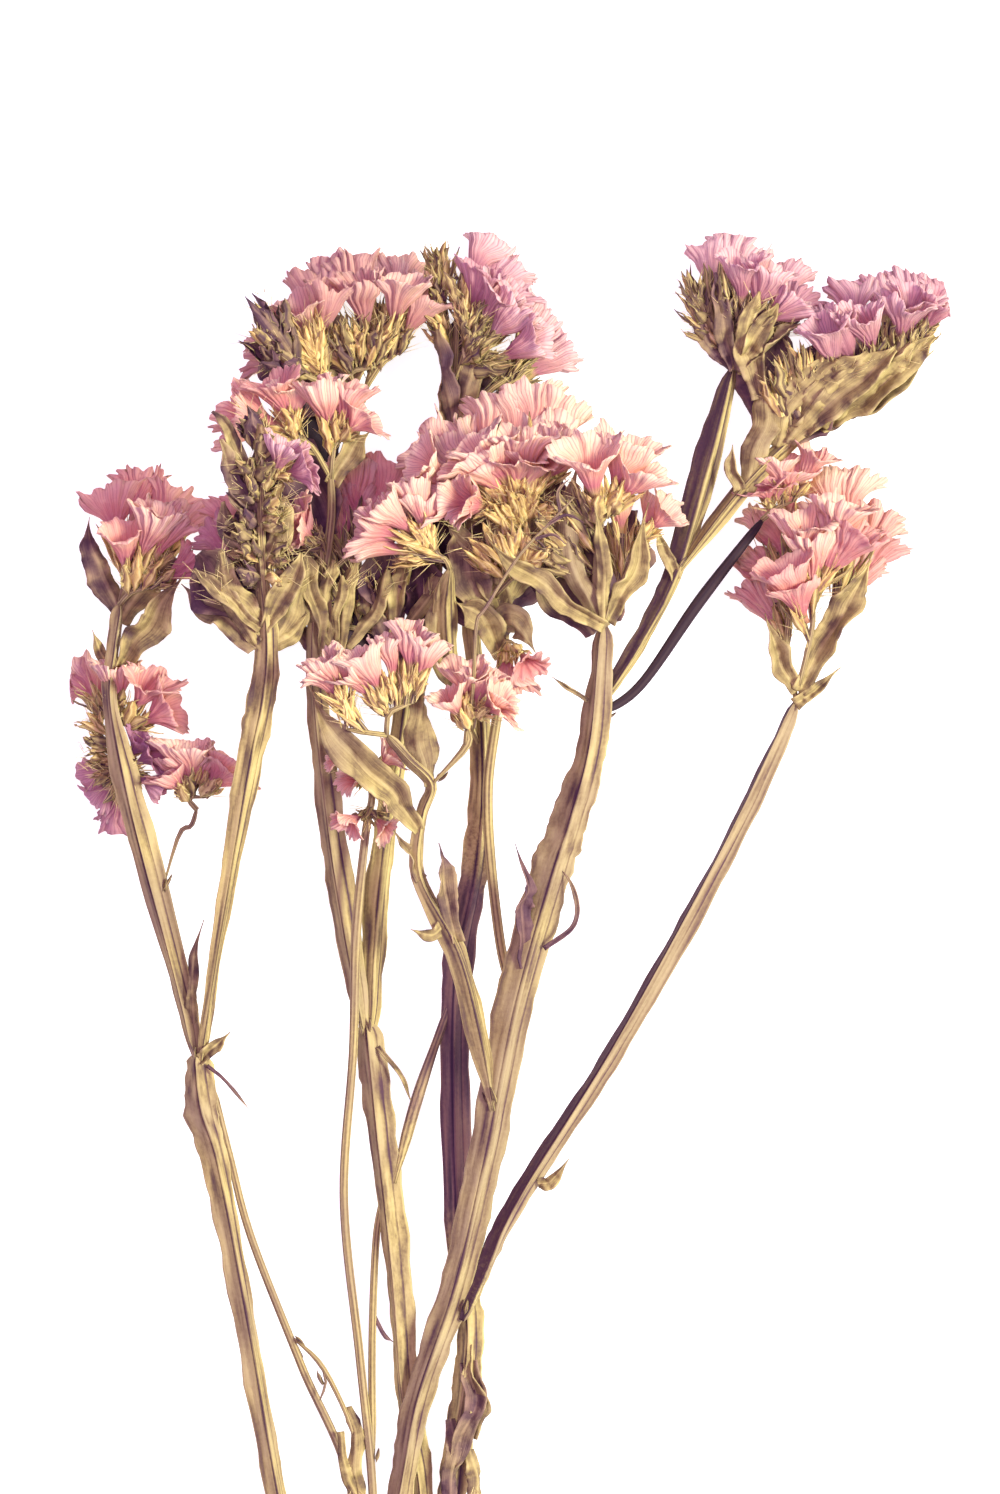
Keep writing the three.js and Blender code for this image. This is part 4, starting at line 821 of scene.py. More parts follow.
def dry_finish(name, patch_share, streak_share, straw_stops=STRAW_STOPS):
    """The shares are how much patches change the tone, and streaks the light and dark."""
    made = Finish(name)
    around, along, _ = made.split(made.node("ShaderNodeUVMap", {"uv_map": "Along"}))
    relief = made.attribute("relief")
    tone = made.attribute("tone")
    spot = made.spot()
    grain = made.noise(spot, GRAIN_SCALE, 4.0, 0.6)
    patch = made.noise(spot, PATCHES_SCALE, 3.0)
    sockets = {0: around * STREAKS_ROUND, 1: along * STREAKS_ALONG, 2: tone * STREAK_SHIFT}
    streak = made.noise(made.node("ShaderNodeCombineXYZ", None, sockets), 1.0, 3.0, 0.6)

    uneven = (streak - 0.5) * streak_share + (grain - 0.5) * GRAIN_SHARE
    # painted light and shade, broken up by the real streaks and grain
    lit = made.range(relief + uneven, 0.0, 1.0)
    straw, olive, brown = (made.node("ShaderNodeValToRGB", {"stops": stops}, {0: lit})
                           for stops in (straw_stops, OLIVE_STOPS, BROWN_STOPS))
    own = tone + (patch - 0.5) * patch_share
    greener = made.mix(straw, olive, made.range(own, 0.12, 0.52))
    browner = made.mix(greener, brown, made.range(own, 0.6, 1.0))
    # tones past 1 are painted shade, nearly black, for parts that lie in the shadow of others
    body = made.mix(browner, PAINTED_SHADOW_DARK, made.range(tone, 1.05, 1.4))
    ribs = made.bump(streak * 0.6 + grain * 0.5, RIB_DEPTH, 0.7)
    sockets = {"Base Color": body, "Roughness": 0.75, "Normal": ribs,
               "Specular IOR Level": 0.3}
    return made.surface(made.node("ShaderNodeBsdfPrincipled", None, sockets))


STEM_FINISH = dry_finish("stem", 0.8, 0.75, TAN_STOPS)
LEAF_FINISH = dry_finish("leaf", 0.8, 0.5, TAN_STOPS)
BRACT_FINISH = dry_finish("bract", 0.5, 0.8)
print("stalk finishes:", STEM_FINISH.name, LEAF_FINISH.name, BRACT_FINISH.name)

# %% [markdown]
# ## A grid that is moved into shape
#
# Stems, leaves, bracts and calyxes are all thin skins with two directions: around or across, and
# along. Each starts as bmesh's create_grid, and a short formula moves every corner from its place
# on the flat grid to its place on the plant. Extruding ring after ring would give the same mesh
# in many more steps. A tube's two long edges meet, and remove_doubles joins them. A formula that
# runs round the other way turns its skin inside out, and reverse_faces turns it back.

# %% Grids
MERGE = 0.002 * MM
SOFT_EDGE = 1.2 * MM
STREAK_LENGTH = 10 * MM  # of a part, for one unit of its UV map


def eased(value, limit):
    """Values that come near the limit are slowed down, so that none passes it."""
    start = limit - SOFT_EDGE
    over = value - start
    return value if over <= 0 else start + SOFT_EDGE * over / (over + SOFT_EDGE)


def inside(place):
    """The same place, kept within the plain model's box."""
    lowest, highest = plain_box
    for axis in (0, 1):
        place[axis] = eased(place[axis], highest[axis])
        place[axis] = -eased(-place[axis], -lowest[axis])
    place.z = max(eased(place.z, highest[2]), FLOOR_LEVEL + REST_CLEARANCE)
    return place


class Weave:
    """A mesh in the making, with the numbers that the finishes read from it."""

    def __init__(self):
        self.bm = bmesh.new()
        self.seams = []
        self.uv = self.bm.loops.layers.uv.new("Along")
        # painted shade in grooves, creases and valleys, painted light on ridges, and pale edges
        self.relief = self.bm.verts.layers.float.new("relief")
        self.tone = self.bm.verts.layers.float.new("tone")

    def skin(self, across, along, form, tone, stretch=1.0, closed=False, reverse=False):
        """A grid whose corner at u, v goes to form(u, v), which also gives its painted shade."""
        made = bmesh.ops.create_grid(self.bm, x_segments=across, y_segments=along, size=0.5,
                                     calc_uvs=True)
        corners = made["verts"]
        for corner in corners:
            height = corner.co.y + 0.5
            place, relief = form(corner.co.x + 0.5, height)
            corner.co = place
            corner[self.relief] = relief
            corner[self.tone] = tone(height) if callable(tone) else tone
        faces = list({face for corner in corners for face in corner.link_faces})
        for face in faces:
            for loop in face.loops:
                loop[self.uv].uv.y *= stretch
        if reverse:
            bmesh.ops.reverse_faces(self.bm, faces=faces)
        if closed:
            self.seams += corners

    def piece(self, name, material, wall=None):
        """The finished object. A wall gives thin skins their thickness."""
        bmesh.ops.remove_doubles(self.bm, verts=self.seams, dist=MERGE)
        for corner in self.bm.verts:
            corner.co = inside(corner.co)
        for face in self.bm.faces:
            face.smooth = True
        mesh = bpy.data.meshes.new(name)
        self.bm.to_mesh(mesh)
        self.bm.free()
        mesh.materials.append(material)
        made = bpy.data.objects.new(name, mesh)
        bpy.context.scene.collection.objects.link(made)
        if wall:
            solid = made.modifiers.new("wall", "SOLIDIFY")
            solid.thickness = wall
            solid.offset = 0.0
        return made


def smooth(value):
    """From 0 to 1 with soft ends."""
    held = min(max(value, 0.0), 1.0)
    return held * held * (3 - 2 * held)


def mix(first, second, share):
    return first + (second - first) * share


def wander(place, scale, reach):
    """A smooth push that changes over the scale, in metres."""
    return noise.noise_vector(place / scale) * reach


trial = Weave()
trial.skin(4, 2, lambda u, v: (Vector((u, v, 0)), 0.0), 0.0)
print("a 4 by 2 grid has", len(trial.bm.faces), "faces")
trial.bm.free()

# %% [markdown]
# ## Curves through the routes
#
# A Catmull-Rom curve passes through all its points and needs no handles. A Bezier curve object
# would do too, but its handles would have to be set by hand for every bend.

# %% Curves
def spline(route, share):
    """The place and width on a route, from 0 at its foot to 1 at its tip."""
    last = len(route) - 1
    place = min(max(share, 0.0), 1.0) * last
    index = min(int(place), last - 1)
    local = place - index
    points = [point_of(each) for each in route]
    before = points[index - 1] if index else 2 * points[0] - points[1]
    after = points[index + 2] if index + 2 <= last else 2 * points[last] - points[last - 1]
    start, end = points[index], points[index + 1]
    pull_start, pull_end = (end - before) / 2, (after - start) / 2
    cube = 2 * start - 2 * end + pull_start + pull_end
    square = 3 * end - 3 * start - 2 * pull_start - pull_end
    middle = ((cube * local + square) * local + pull_start) * local + start
    width = mix(route[index][3], route[index + 1][3], smooth(local)) * MM
    return middle, width


class Track:
    """A route as a row of middles, widths and frames. A frame is the way to its side and up."""

    def __init__(self, route, steps):
        samples = [spline(route, step / steps) for step in range(steps + 1)]
        self.steps = steps
        self.middles = [middle for middle, _ in samples]
        self.widths = [width for _, width in samples]
        self.length = sum((b - a).length for a, b in zip(self.middles, self.middles[1:]))
        self.frames = [self.frame(step) for step in range(steps + 1)]

    def frame(self, step):
        ahead = self.middles[min(step + 1, self.steps)]
        behind = self.middles[max(step - 1, 0)]
        forward = (ahead - behind).normalized()
        side = Vector((forward.y, -forward.x, 0.0)).normalized()
        return side, side.cross(forward)


def turned(middle, sides, x, y, angle):
    """A place beside and above a route's middle, turned round it by an angle."""
    side, up = sides
    place = middle + side * (x * math.cos(angle) - y * math.sin(angle))
    return place + up * (x * math.sin(angle) + y * math.cos(angle))


def route_length(route):
    return Track(route, 4 * len(route)).length


longest = max((route for plan in STEMS.values() for route in plan["routes"]), key=route_length)
print("longest stem:", round(route_length(longest) / MM), "mm")

# %% [markdown]
# ## Winged, ribbed stems
#
# A statice stem is a slender core with papery wings along it: one at each side and a narrow one
# that runs along the middle like a keel, with a groove beside it, which is painted dark as shade.
# SECTION is half of such a cut through a stem, from one edge to the other, with the painted light
# and shade at each point, and the lower half mirrors it. The section turns a little on its way up,
# so that the wings catch the light here and hide there, and their edges wave. A round tube with a
# bump map would stay round at its outline, where it shows most.

# %% The stems' measures
ROD_STEP = 1.6 * MM
FEWEST_STEPS = 4
END_ROWS = 1
# how dark the closed ends of a stem are painted
END_SHADING = 0.3
CORE_THICKNESS = 2.5 * MM
CORE_SHARE = 0.8  # of a narrow stem's width at most
LOWER_SHARE = 0.85  # the lower side is a little flatter
KEEL_DRIFT, KEEL_SWING = 0.16, 23 * MM
KEEL_START = -0.06
WING_WAVE, WAVE_LENGTH = 0.24, 6 * MM
WING_LIFT, LIFTED_HALF = 0.8 * MM, 2 * MM
WING_DROOP = 0.45
WING_GROWTH, STALK_GROWTH = 1.2, 0.9
WINGED_WIDTH = 2.2 * MM  # a thinner stalk has no wings
TWIG_WIDTH = 0.95 * MM  # a still thinner one is a withered twig
TWIG_TONE = 0.72
STEM_TONE = ((0.0, 0.4), (1.0, 0.4))
TONE_SPREAD = 0.15
TWIST, TWIST_LENGTH = 0.35, 34 * MM
# painted light and shade of folds along the wings: how much, and over what length
PAINTED_FOLDS_SHARE, PAINTED_FOLDS_LENGTH = 0.5, 8 * MM
BRANCH_START, BRANCH_GROWS = 0.4, 7 * MM
TIP_LEAST, TIP_TAPERS = 0.3, 2.5 * MM
# across from edge to edge, half thickness as a share of the core's, and painted light and shade:
# low in the groove beside the keel, high on the keel and at the edges, which are also paler
SECTION = [(-1.0, 0.09, 0.85), (-0.92, 0.13, 0.5), (-0.68, 0.2, 0.62), (-0.45, 0.36, 0.5),
           (-0.3, 0.68, 0.66), (-0.19, 0.74, 0.45), (-0.12, 0.62, 0.12), (-0.02, 1.16, 0.85),
           (0.08, 0.84, 0.6), (0.26, 0.78, 0.66), (0.42, 0.48, 0.5), (0.5, 0.28, 0.2),
           (0.58, 0.3, 0.6), (0.88, 0.14, 0.55), (1.0, 0.09, 0.85)]
ROUND_SECTION = [(math.cos(math.pi * (1 - step / 7)), max(math.sin(math.pi * step / 7), 0.05),
                  0.35 + 0.5 * (step % 2)) for step in range(8)]


def whole_section(half):
    """The upper half from left to right, then the lower one back, and the first point again."""
    lower = [(across, -thick * LOWER_SHARE, relief) for across, thick, relief in reversed(half)]
    return half + lower + half[:1]


def toned(stops, share):
    """The tone at a share of the length, from (share, tone) stops."""
    for (start, low), (end, high) in zip(stops, stops[1:]):
        if share <= end:
            return mix(low, high, smooth((share - start) / (end - start)))
    return stops[-1][1]


print("points round a winged stem:", len(whole_section(SECTION)) - 1)

# %% Stems
def wing_push(across, along, seed, half, droop):
    """How far a wing moves sideways, as a share of the half width, and how far it lifts."""
    edge = math.copysign(abs(across) ** 3, across)
    here = Vector((along / WAVE_LENGTH, seed * 3.7, math.copysign(5.0, across)))
    wave = noise.noise(here) + 0.4 * noise.noise(here * 3.1)
    lift = WING_LIFT * noise.noise(here * 1.4 + Vector((40, 0, 0)))
    rise = lift * abs(edge) * min(1.0, half / LIFTED_HALF)
    return WING_WAVE * edge * wave, rise - droop * abs(across) * half


def rod(weave, route, seed, tones=STEM_TONE, branch=False, droop=WING_DROOP, left_half_light=1.0):
    """A stem, branch or stalk along its route. A share below 1 paints shade on its left half."""
    steps = max(FEWEST_STEPS, round(route_length(route) / ROD_STEP))
    track = Track(route, steps)
    winged = max(track.widths) > WINGED_WIDTH
    twig = max(track.widths) < TWIG_WIDTH
    section = whole_section(SECTION if winged else ROUND_SECTION)
    sides = len(section) - 1
    rows = steps + 2 * END_ROWS
    twist_from = TAU * draw(seed, 1)

    def grown_at(along):
        """The share of its width that a branch has near its foot, and all have near the tip."""
        grown = mix(BRANCH_START, 1.0, smooth(along / BRANCH_GROWS)) if branch else 1.0
        return grown * mix(TIP_LEAST, 1.0, smooth((track.length - along) / TIP_TAPERS))

    def form(u, v):
        row = round(v * rows)
        step = min(max(row - END_ROWS, 0), steps)
        middle = track.middles[step]
        if row < END_ROWS or row > rows - END_ROWS:
            return middle, END_SHADING
        along = step / steps * track.length
        grown = grown_at(along)
        across, thick, relief = section[round(u * sides)]
        half = track.widths[step] / 2 * grown * (WING_GROWTH if winged else STALK_GROWTH)
        core = min(CORE_THICKNESS * grown, 2 * half * (CORE_SHARE if winged else 1.0)) / 2
        drift = KEEL_DRIFT * math.sin(along / KEEL_SWING + seed) * (1 - across * across)
        push, rise = wing_push(across, along, seed, half, droop) if winged else (0.0, 0.0)
        turn = TWIST * math.sin(along / TWIST_LENGTH + twist_from)
        place = turned(middle, track.frames[step], half * (across + drift + push),
                       core * thick + rise, turn)
        # painted light and shade of folds along the wings
        painted_folds = noise.noise(Vector((along / PAINTED_FOLDS_LENGTH, seed * 2.1, 3 * across)))
        relief += PAINTED_FOLDS_SHARE * painted_folds * winged
        # painted shade on the left half, the side away from the key lamp
        return place, relief * (left_half_light if across < KEEL_START else 1.0)

    def own_tone(v):
        return (TWIG_TONE if twig else toned(tones, v)) + spread_draw(seed, 2, TONE_SPREAD)

    weave.skin(sides, rows, form, own_tone, track.length / STREAK_LENGTH, closed=True)


trial = Weave()
rod(trial, STEMS["stem_thin"]["routes"][0], 0)
print("faces of the thin stem:", len(trial.bm.faces))
trial.bm.free()

# %% [markdown]
# ## Leaves and wings
#
# A leaf is an open skin along its route: folded a little at its midrib, crumpled and waved at its
# edges, pointed at its tip. The Solidify modifier gives it its thickness at the end, alike on both
# sides. A leaf about a millimetre wide is a thread, straighter and browner than the others.

# %% Leaves
LEAF_ACROSS = 8
LEAF_ALONG = 32
LEAF_WALL = 0.2 * MM
LEAF_LEAN = 0.4
LEAF_FOLD = 0.75
FOLDED_UP_SHARE = 0.6  # of the leaves. The others are folded down, a little less
LEAF_CRUMPLE = 0.65 * MM
LEAF_ROLL, ROLL_LENGTH = 1.1, 7.5 * MM
LEAF_SWAY = 1.3 * MM
LEAF_FULLNESS = 1.4
LEAF_TONE_SPREAD = 0.14
EDGE_WAVE, EDGE_WAVE_LENGTH = 1.2 * MM, 2.4 * MM
WAVED_HALF = 1.6 * MM  # a narrower half waves less
THREAD_WIDTH = 1.15
THREAD_FULLNESS = 0.7
THREAD_LOOSE = 0.3
THREAD_TONE = 0.85


def taper(v, blunt):
    """The share of its width that a leaf has near its tip, rounded off or pointed."""
    if blunt:
        return 1 - 0.75 * smooth((v - 0.82) / 0.18)
    return 1 - 0.95 * smooth((v - 0.6) / 0.4)


def leaf(weave, route, seed, tone, blunt=False):
    track = Track(route, LEAF_ALONG)
    lean = spread_draw(seed, 3, LEAF_LEAN)
    thread = max(place[3] for place in route) <= THREAD_WIDTH
    loose = THREAD_LOOSE if thread else 1.0
    fullness = THREAD_FULLNESS if thread else LEAF_FULLNESS
    fold = LEAF_FOLD * (1 if draw(seed, 50) < FOLDED_UP_SHARE else -0.7)

    def form(u, v):
        step = round(v * LEAF_ALONG)
        side, up = track.frames[step]
        across = 2 * u - 1
        along = v * track.length
        here = Vector((along / EDGE_WAVE_LENGTH, seed * 1.9, math.copysign(4.0, across)))
        slow = Vector((along / ROLL_LENGTH, seed * 2.3, 0.0))
        wave = noise.noise(here) + 0.4 * noise.noise(here * 2.7)
        uneven = 1 + 0.35 * loose * noise.noise(here * 0.6)
        half = track.widths[step] / 2 * taper(v, blunt) * uneven * fullness
        ripple = EDGE_WAVE * wave * abs(across) ** 1.6 * min(1.0, half / WAVED_HALF)
        turn = lean + LEAF_ROLL * loose * noise.noise(slow) * smooth(3 * v)
        place = turned(track.middles[step], (side, up),
                       half * (across + 0.14 * wave * abs(across)),
                       fold * abs(across) * half + ripple, turn)
        sway = LEAF_SWAY * loose * noise.noise(slow + Vector((9, 0, 0)))
        place += side * sway * smooth(2 * v)
        crease = noise.noise(place / (2.3 * MM)) + 0.6 * noise.noise(place / (0.9 * MM))
        place += up * LEAF_CRUMPLE * crease * loose
        # a paler midrib and edges, with painted shade in the creases and the edge waves' valleys
        rib = 0.22 * math.exp(-((across / 0.1) ** 2))
        edge = (0.12 + 0.3 * wave) * abs(across) ** 6
        return place, 0.5 + rib + edge + 0.2 * crease + 0.3 * wave * abs(across)

    own_tone = (THREAD_TONE if thread else tone) + spread_draw(seed, 4, LEAF_TONE_SPREAD)
    weave.skin(LEAF_ACROSS, LEAF_ALONG, form, own_tone, track.length / STREAK_LENGTH)


print("corners of a leaf:", (LEAF_ACROSS + 1) * (LEAF_ALONG + 1))

# %% [markdown]
# ## Where a flower stands
#
# Each flower's line runs from the stalk to the crest. `side` is along the comb, and `front` is
# the way its open face looks: up for the upper flowers and down for those underneath. The two
# kinds mirror each other, so the bracts' and feet's skins round those that look up are reversed.

# %% Flower lines
STALK_ROOT = 0.35
CALYX_HEIGHT = 10.0 * MM
CALYX_SHARE = 0.76
SHARE_JITTER = 0.3
TIP_JITTER = 0.7 * MM


class Line:
    """A straight line that bracts stand round."""

    def __init__(self, foot, tip, size=1.0):
        self.foot = foot
        self.length = (tip - foot).length
        self.axis = (tip - foot).normalized()
        self.side = Vector((self.axis.y, -self.axis.x, 0.0)).normalized()
        up = self.side.cross(self.axis)
        self.looks_up = tip.z >= foot.z
        self.front = up if self.looks_up else -up
        self.size = size

    def at(self, up, across=0.0, out=0.0):
        return self.foot + self.axis * up + self.side * across + self.front * out


def along_chain(points, share):
    """The point at a share of a chain of points, which goes on straight past its ends."""
    place = share * (len(points) - 1)
    index = min(max(math.floor(place), 0), len(points) - 2)
    return point_of(points[index]).lerp(point_of(points[index + 1]), place - index)


def flower_line(comb, share, seed, reach=1.0):
    """The line of the flower at a share of its comb. reach shortens it for an inner row."""
    held = min(max(share + spread_draw(seed, 43, SHARE_JITTER / comb["count"]), 0.0), 1.0)
    foot = along_chain(comb["stalk"], STALK_ROOT + (1 - STALK_ROOT) * held)
    jitter = Vector([spread_draw(seed, kind, TIP_JITTER) for kind in (44, 45, 46)])
    tip = foot.lerp(along_chain(comb["crest"], held) + jitter, reach)
    line = Line(foot, tip, comb["size"])
    line.height = min(CALYX_HEIGHT * line.size, CALYX_SHARE * line.length)
    line.seat = line.length - line.height
    return line


def crest_step(comb):
    """How far apart two neighbours' tips are."""
    gaps = len(comb["crest"]) - 1
    chain = [along_chain(comb["crest"], index / gaps) for index in range(gaps + 1)]
    total = sum((b - a).length for a, b in zip(chain, chain[1:]))
    return total / max(comb["count"] - 1, 1)


sample = STEMS["stem_centre"]["heads"]["calyxes_broad_head"][0]
print("tips are", round(crest_step(sample) / MM, 1), "mm apart on the first comb")

# %% [markdown]
# ## Papery funnels
#
# A calyx starts as a tube a millimetre wide and opens into a flat funnel, as wide as it is tall.
# Its wall is pleated like a fan, finely and not deeply, and its rim is slightly ragged, with one
# side often folded outwards. All of that is one formula on a closed grid. A cloth simulation
# could crumple it too, but it would take minutes for this many flowers and settle differently
# with every change.

# %% Calyxes
CALYX_AROUND = 66
CALYX_UP = 8
CALYX_WALL = 0.1 * MM
TUBE_RADIUS = 0.55 * MM
TUBE_SHARE = 0.22  # of the height
PLEATS_FROM, PLEATS_TO = 11, 17
MOST_SIDE, MOST_FRONT = 4.9 * MM, 2.3 * MM
CRUMPLE_LENGTH, CRUMPLE_REACH = 3.4 * MM, 1.3 * MM
WRINKLE_LENGTH, WRINKLE_REACH = 1.1 * MM, 0.16 * MM


def pleat_at(turns):
    """From -1 in a narrow valley to 1 on a broad, round ridge."""
    return 1 - 2 * (0.5 - 0.5 * math.sin(TAU * turns)) ** 1.8


def calyx(weave, line, reach, seed, shade):
    """A shade over 0 makes it deeper, near 1 mauve: partly painted shade, partly its own colour.
    """
    pleats = PLEATS_FROM + round(draw(seed, 5) * (PLEATS_TO - PLEATS_FROM))
    turn, lobe, swell = (TAU * draw(seed, kind) for kind in (6, 7, 8))
    lean_side = spread_draw(seed, 9, 0.2)
    lean_front = 0.06 + 0.2 * draw(seed, 10)
    flap = math.pi / 2 + spread_draw(seed, 11, 1.2)
    flap_size = smooth(2.2 * draw(seed, 32) - 1.0)
    tall = line.height * (0.92 + 0.14 * draw(seed, 12))
    wide = 0.84 + 0.26 * draw(seed, 33)
    pleated = 0.45 + 0.75 * draw(seed, 42)
    side_reach = min(reach, MOST_SIDE * line.size) * wide
    front_reach = MOST_FRONT * line.size * (0.7 + 0.5 * draw(seed, 13))

    def form(u, v):
        angle = TAU * u
        opened = max(0.0, (v - TUBE_SHARE) / (1 - TUBE_SHARE))
        flare = 0.85 * opened ** 1.1 + 0.15 * opened ** 4
        pleat = pleat_at(pleats * u + 0.3 * math.sin(angle * 2 + turn))
        waves = 0.1 * math.sin(2 * angle + lobe) + 0.08 * math.sin(3 * angle + swell)
        bulge = 1 + waves * flare
        depth = (0.05 + 0.05 * opened) * pleat * pleated
        turned_out = flap_size * max(0.0, math.cos(angle - flap)) ** 2 * opened ** 3
        radius_side = mix(TUBE_RADIUS * line.size, side_reach, flare) * (bulge + depth)
        radius_front = mix(TUBE_RADIUS * line.size, front_reach, flare) * (bulge + depth * 2.2)
        notch = draw(seed + round(u * CALYX_AROUND) % CALYX_AROUND, 14) - 0.5
        lobes = 0.045 * math.sin(5 * angle + lobe) + 0.018 * pleat
        up = v + (notch * 0.05 + lobes - 0.05 * math.sin(angle)) * opened ** 2
        up_length = tall * (up - 0.2 * turned_out)
        across = radius_side * math.cos(angle) + lean_side * up_length
        out = radius_front * (math.sin(angle) + 0.7 * turned_out) + lean_front * up_length
        place = line.at(line.seat + up_length, across, out)
        place += wander(place, CRUMPLE_LENGTH, CRUMPLE_REACH * opened)
        place += wander(place, WRINKLE_LENGTH, WRINKLE_REACH * opened)
        # the pleats' painted shade: low in their valleys
        return place, 0.5 + 0.5 * pleat * pleated

    weave.skin(CALYX_AROUND, CALYX_UP, form, draw(seed, 15) + shade, closed=True)


print("corners of a calyx:", CALYX_AROUND * (CALYX_UP + 1))

# %% [markdown]
# ## Bracts and hairs
#
# Under each calyx a few pointed bracts clasp its tube. The inner ones are straw and slender, with
# a keel and a fine tip. The outer ones, the husks, are wider, olive and crumpled. A bract is a
# grid bent round the flower's line. A hair is create_cone with three sides: Blender's own hair
# curves would be lost in an export.

# %% Bracts
BRACT_ALONG = 7
BRACT_THICKNESS = 0.12 * MM
# across from edge to edge over the upper side, then back under it, and the side's sign
BRACT_SECTION = [(-1.0, 0), (-0.5, 1), (0.0, 1), (0.5, 1), (1.0, 0), (0.5, -1), (0.0, -1),
                 (-0.5, -1), (-1.0, 0)]
BRACT_BEND = 0.5
BRACT_SWAY = 0.16
BRACT_TONE_SPREAD = 0.16
HAIR_RADIUS = 0.07 * MM
# width, hug, flare and crumple are in millimetres: hug is how far the bract stands from its line,
# and flare how much farther its tip does. cup bends the edges inwards and ruffle waves them. The
# lower blunt is, the later the bract narrows.
STRAW = {"width": 2.1, "hug": 0.65, "flare": 1.0, "cup": 0.4, "ruffle": 0.4, "crumple": 0.5,
         "blunt": 0.7, "tone": 0.05}
BRISTLE = {"width": 0.4, "hug": 0.7, "flare": 1.8, "cup": 0.3, "ruffle": 0.0, "crumple": 0.5,
           "blunt": 0.9, "tone": 0.0}
HUSK = {"width": 3.0, "hug": 0.9, "flare": 1.3, "cup": 0.1, "ruffle": 1.4, "crumple": 1.3,
        "blunt": 0.75, "tone": 0.5}
THORN = {"width": 2.0, "hug": 0.8, "flare": 1.9, "cup": 0.3, "ruffle": 0.9, "crumple": 1.0,
         "blunt": 1.0, "tone": 0.45}
CRUMPLED = {"width": 3.8, "hug": 0.7, "flare": 1.2, "cup": 0.2, "ruffle": 0.8, "crumple": 1.2,
            "blunt": 0.7, "tone": 0.6}
SCALE = {"width": 0.9, "hug": 0.9, "flare": 0.3, "cup": 0.6, "ruffle": 0.2, "crumple": 0.1,
         "blunt": 0.6, "tone": 0.75}


def bract(weave, line, kind, start, end, turn, seed, tone=None):
    """A bract from start to end along a line, at an angle round it."""
    bend = spread_draw(seed, 16, BRACT_BEND)
    sway = spread_draw(seed, 34, BRACT_SWAY)
    long = end - start

    def form(u, v):
        across, upper = BRACT_SECTION[round(u * (len(BRACT_SECTION) - 1))]
        narrowed = min(1.0, 3 * v) * min(1.0, 0.35 + 1.9 * v) * max(0.0, 1 - v) ** kind["blunt"]
        half = kind["width"] * MM * line.size * narrowed * 0.62
        here = Vector((v * long / (1.5 * MM), seed % 97 * 1.7, math.copysign(3.0, across)))
        wave = noise.noise(here) + 0.4 * noise.noise(here * 2.3)
        ring = kind["hug"] * MM * (1 + 0.4 * math.sin(math.pi * v)) + kind["flare"] * MM * v * v
        ring += half * (0.4 * (1 - abs(across)) - kind["cup"] * across * across)
        ring += half * kind["ruffle"] * wave * abs(across) + upper * BRACT_THICKNESS / 2
        angle = turn + bend * v
        side = ring * math.cos(angle) - across * half * math.sin(angle) + sway * long * v
        out = ring * math.sin(angle) + across * half * math.cos(angle)
        place = line.at(mix(start, end, v), side, out)
        shifted = place + Vector((seed % 97, 0, 0)) * MM
        place += wander(shifted, 1.8 * MM, kind["crumple"] * MM * v)
        # painted light on the keel, paler edges, and painted shade in the ruffles' valleys
        keel = 0.5 * (across == 0)
        return place, 0.2 + keel + 0.55 * abs(across) ** 4 + 0.3 * wave

    own_tone = kind["tone"] if tone is None else tone
    own_tone += spread_draw(seed, 17, BRACT_TONE_SPREAD)
    sides = len(BRACT_SECTION) - 1
    weave.skin(sides, BRACT_ALONG, form, own_tone, long / STREAK_LENGTH, closed=True,
               reverse=line.looks_up)


def hair(weave, root, way, length):
    aimed = way.to_track_quat("Z", "Y").to_matrix().to_4x4()
    middle = Matrix.Translation(root + way.normalized() * length / 2) @ aimed
    made = bmesh.ops.create_cone(weave.bm, cap_ends=True, segments=3, radius1=HAIR_RADIUS,
                                 radius2=HAIR_RADIUS * 0.2, depth=length, matrix=middle)
    for corner in made["verts"]:
        corner[weave.relief] = 1.0
        corner[weave.tone] = 0.0


kinds = (STRAW, BRISTLE, HUSK, THORN, CRUMPLED, SCALE)
print("bracts' widths in mm:", [kind["width"] for kind in kinds])
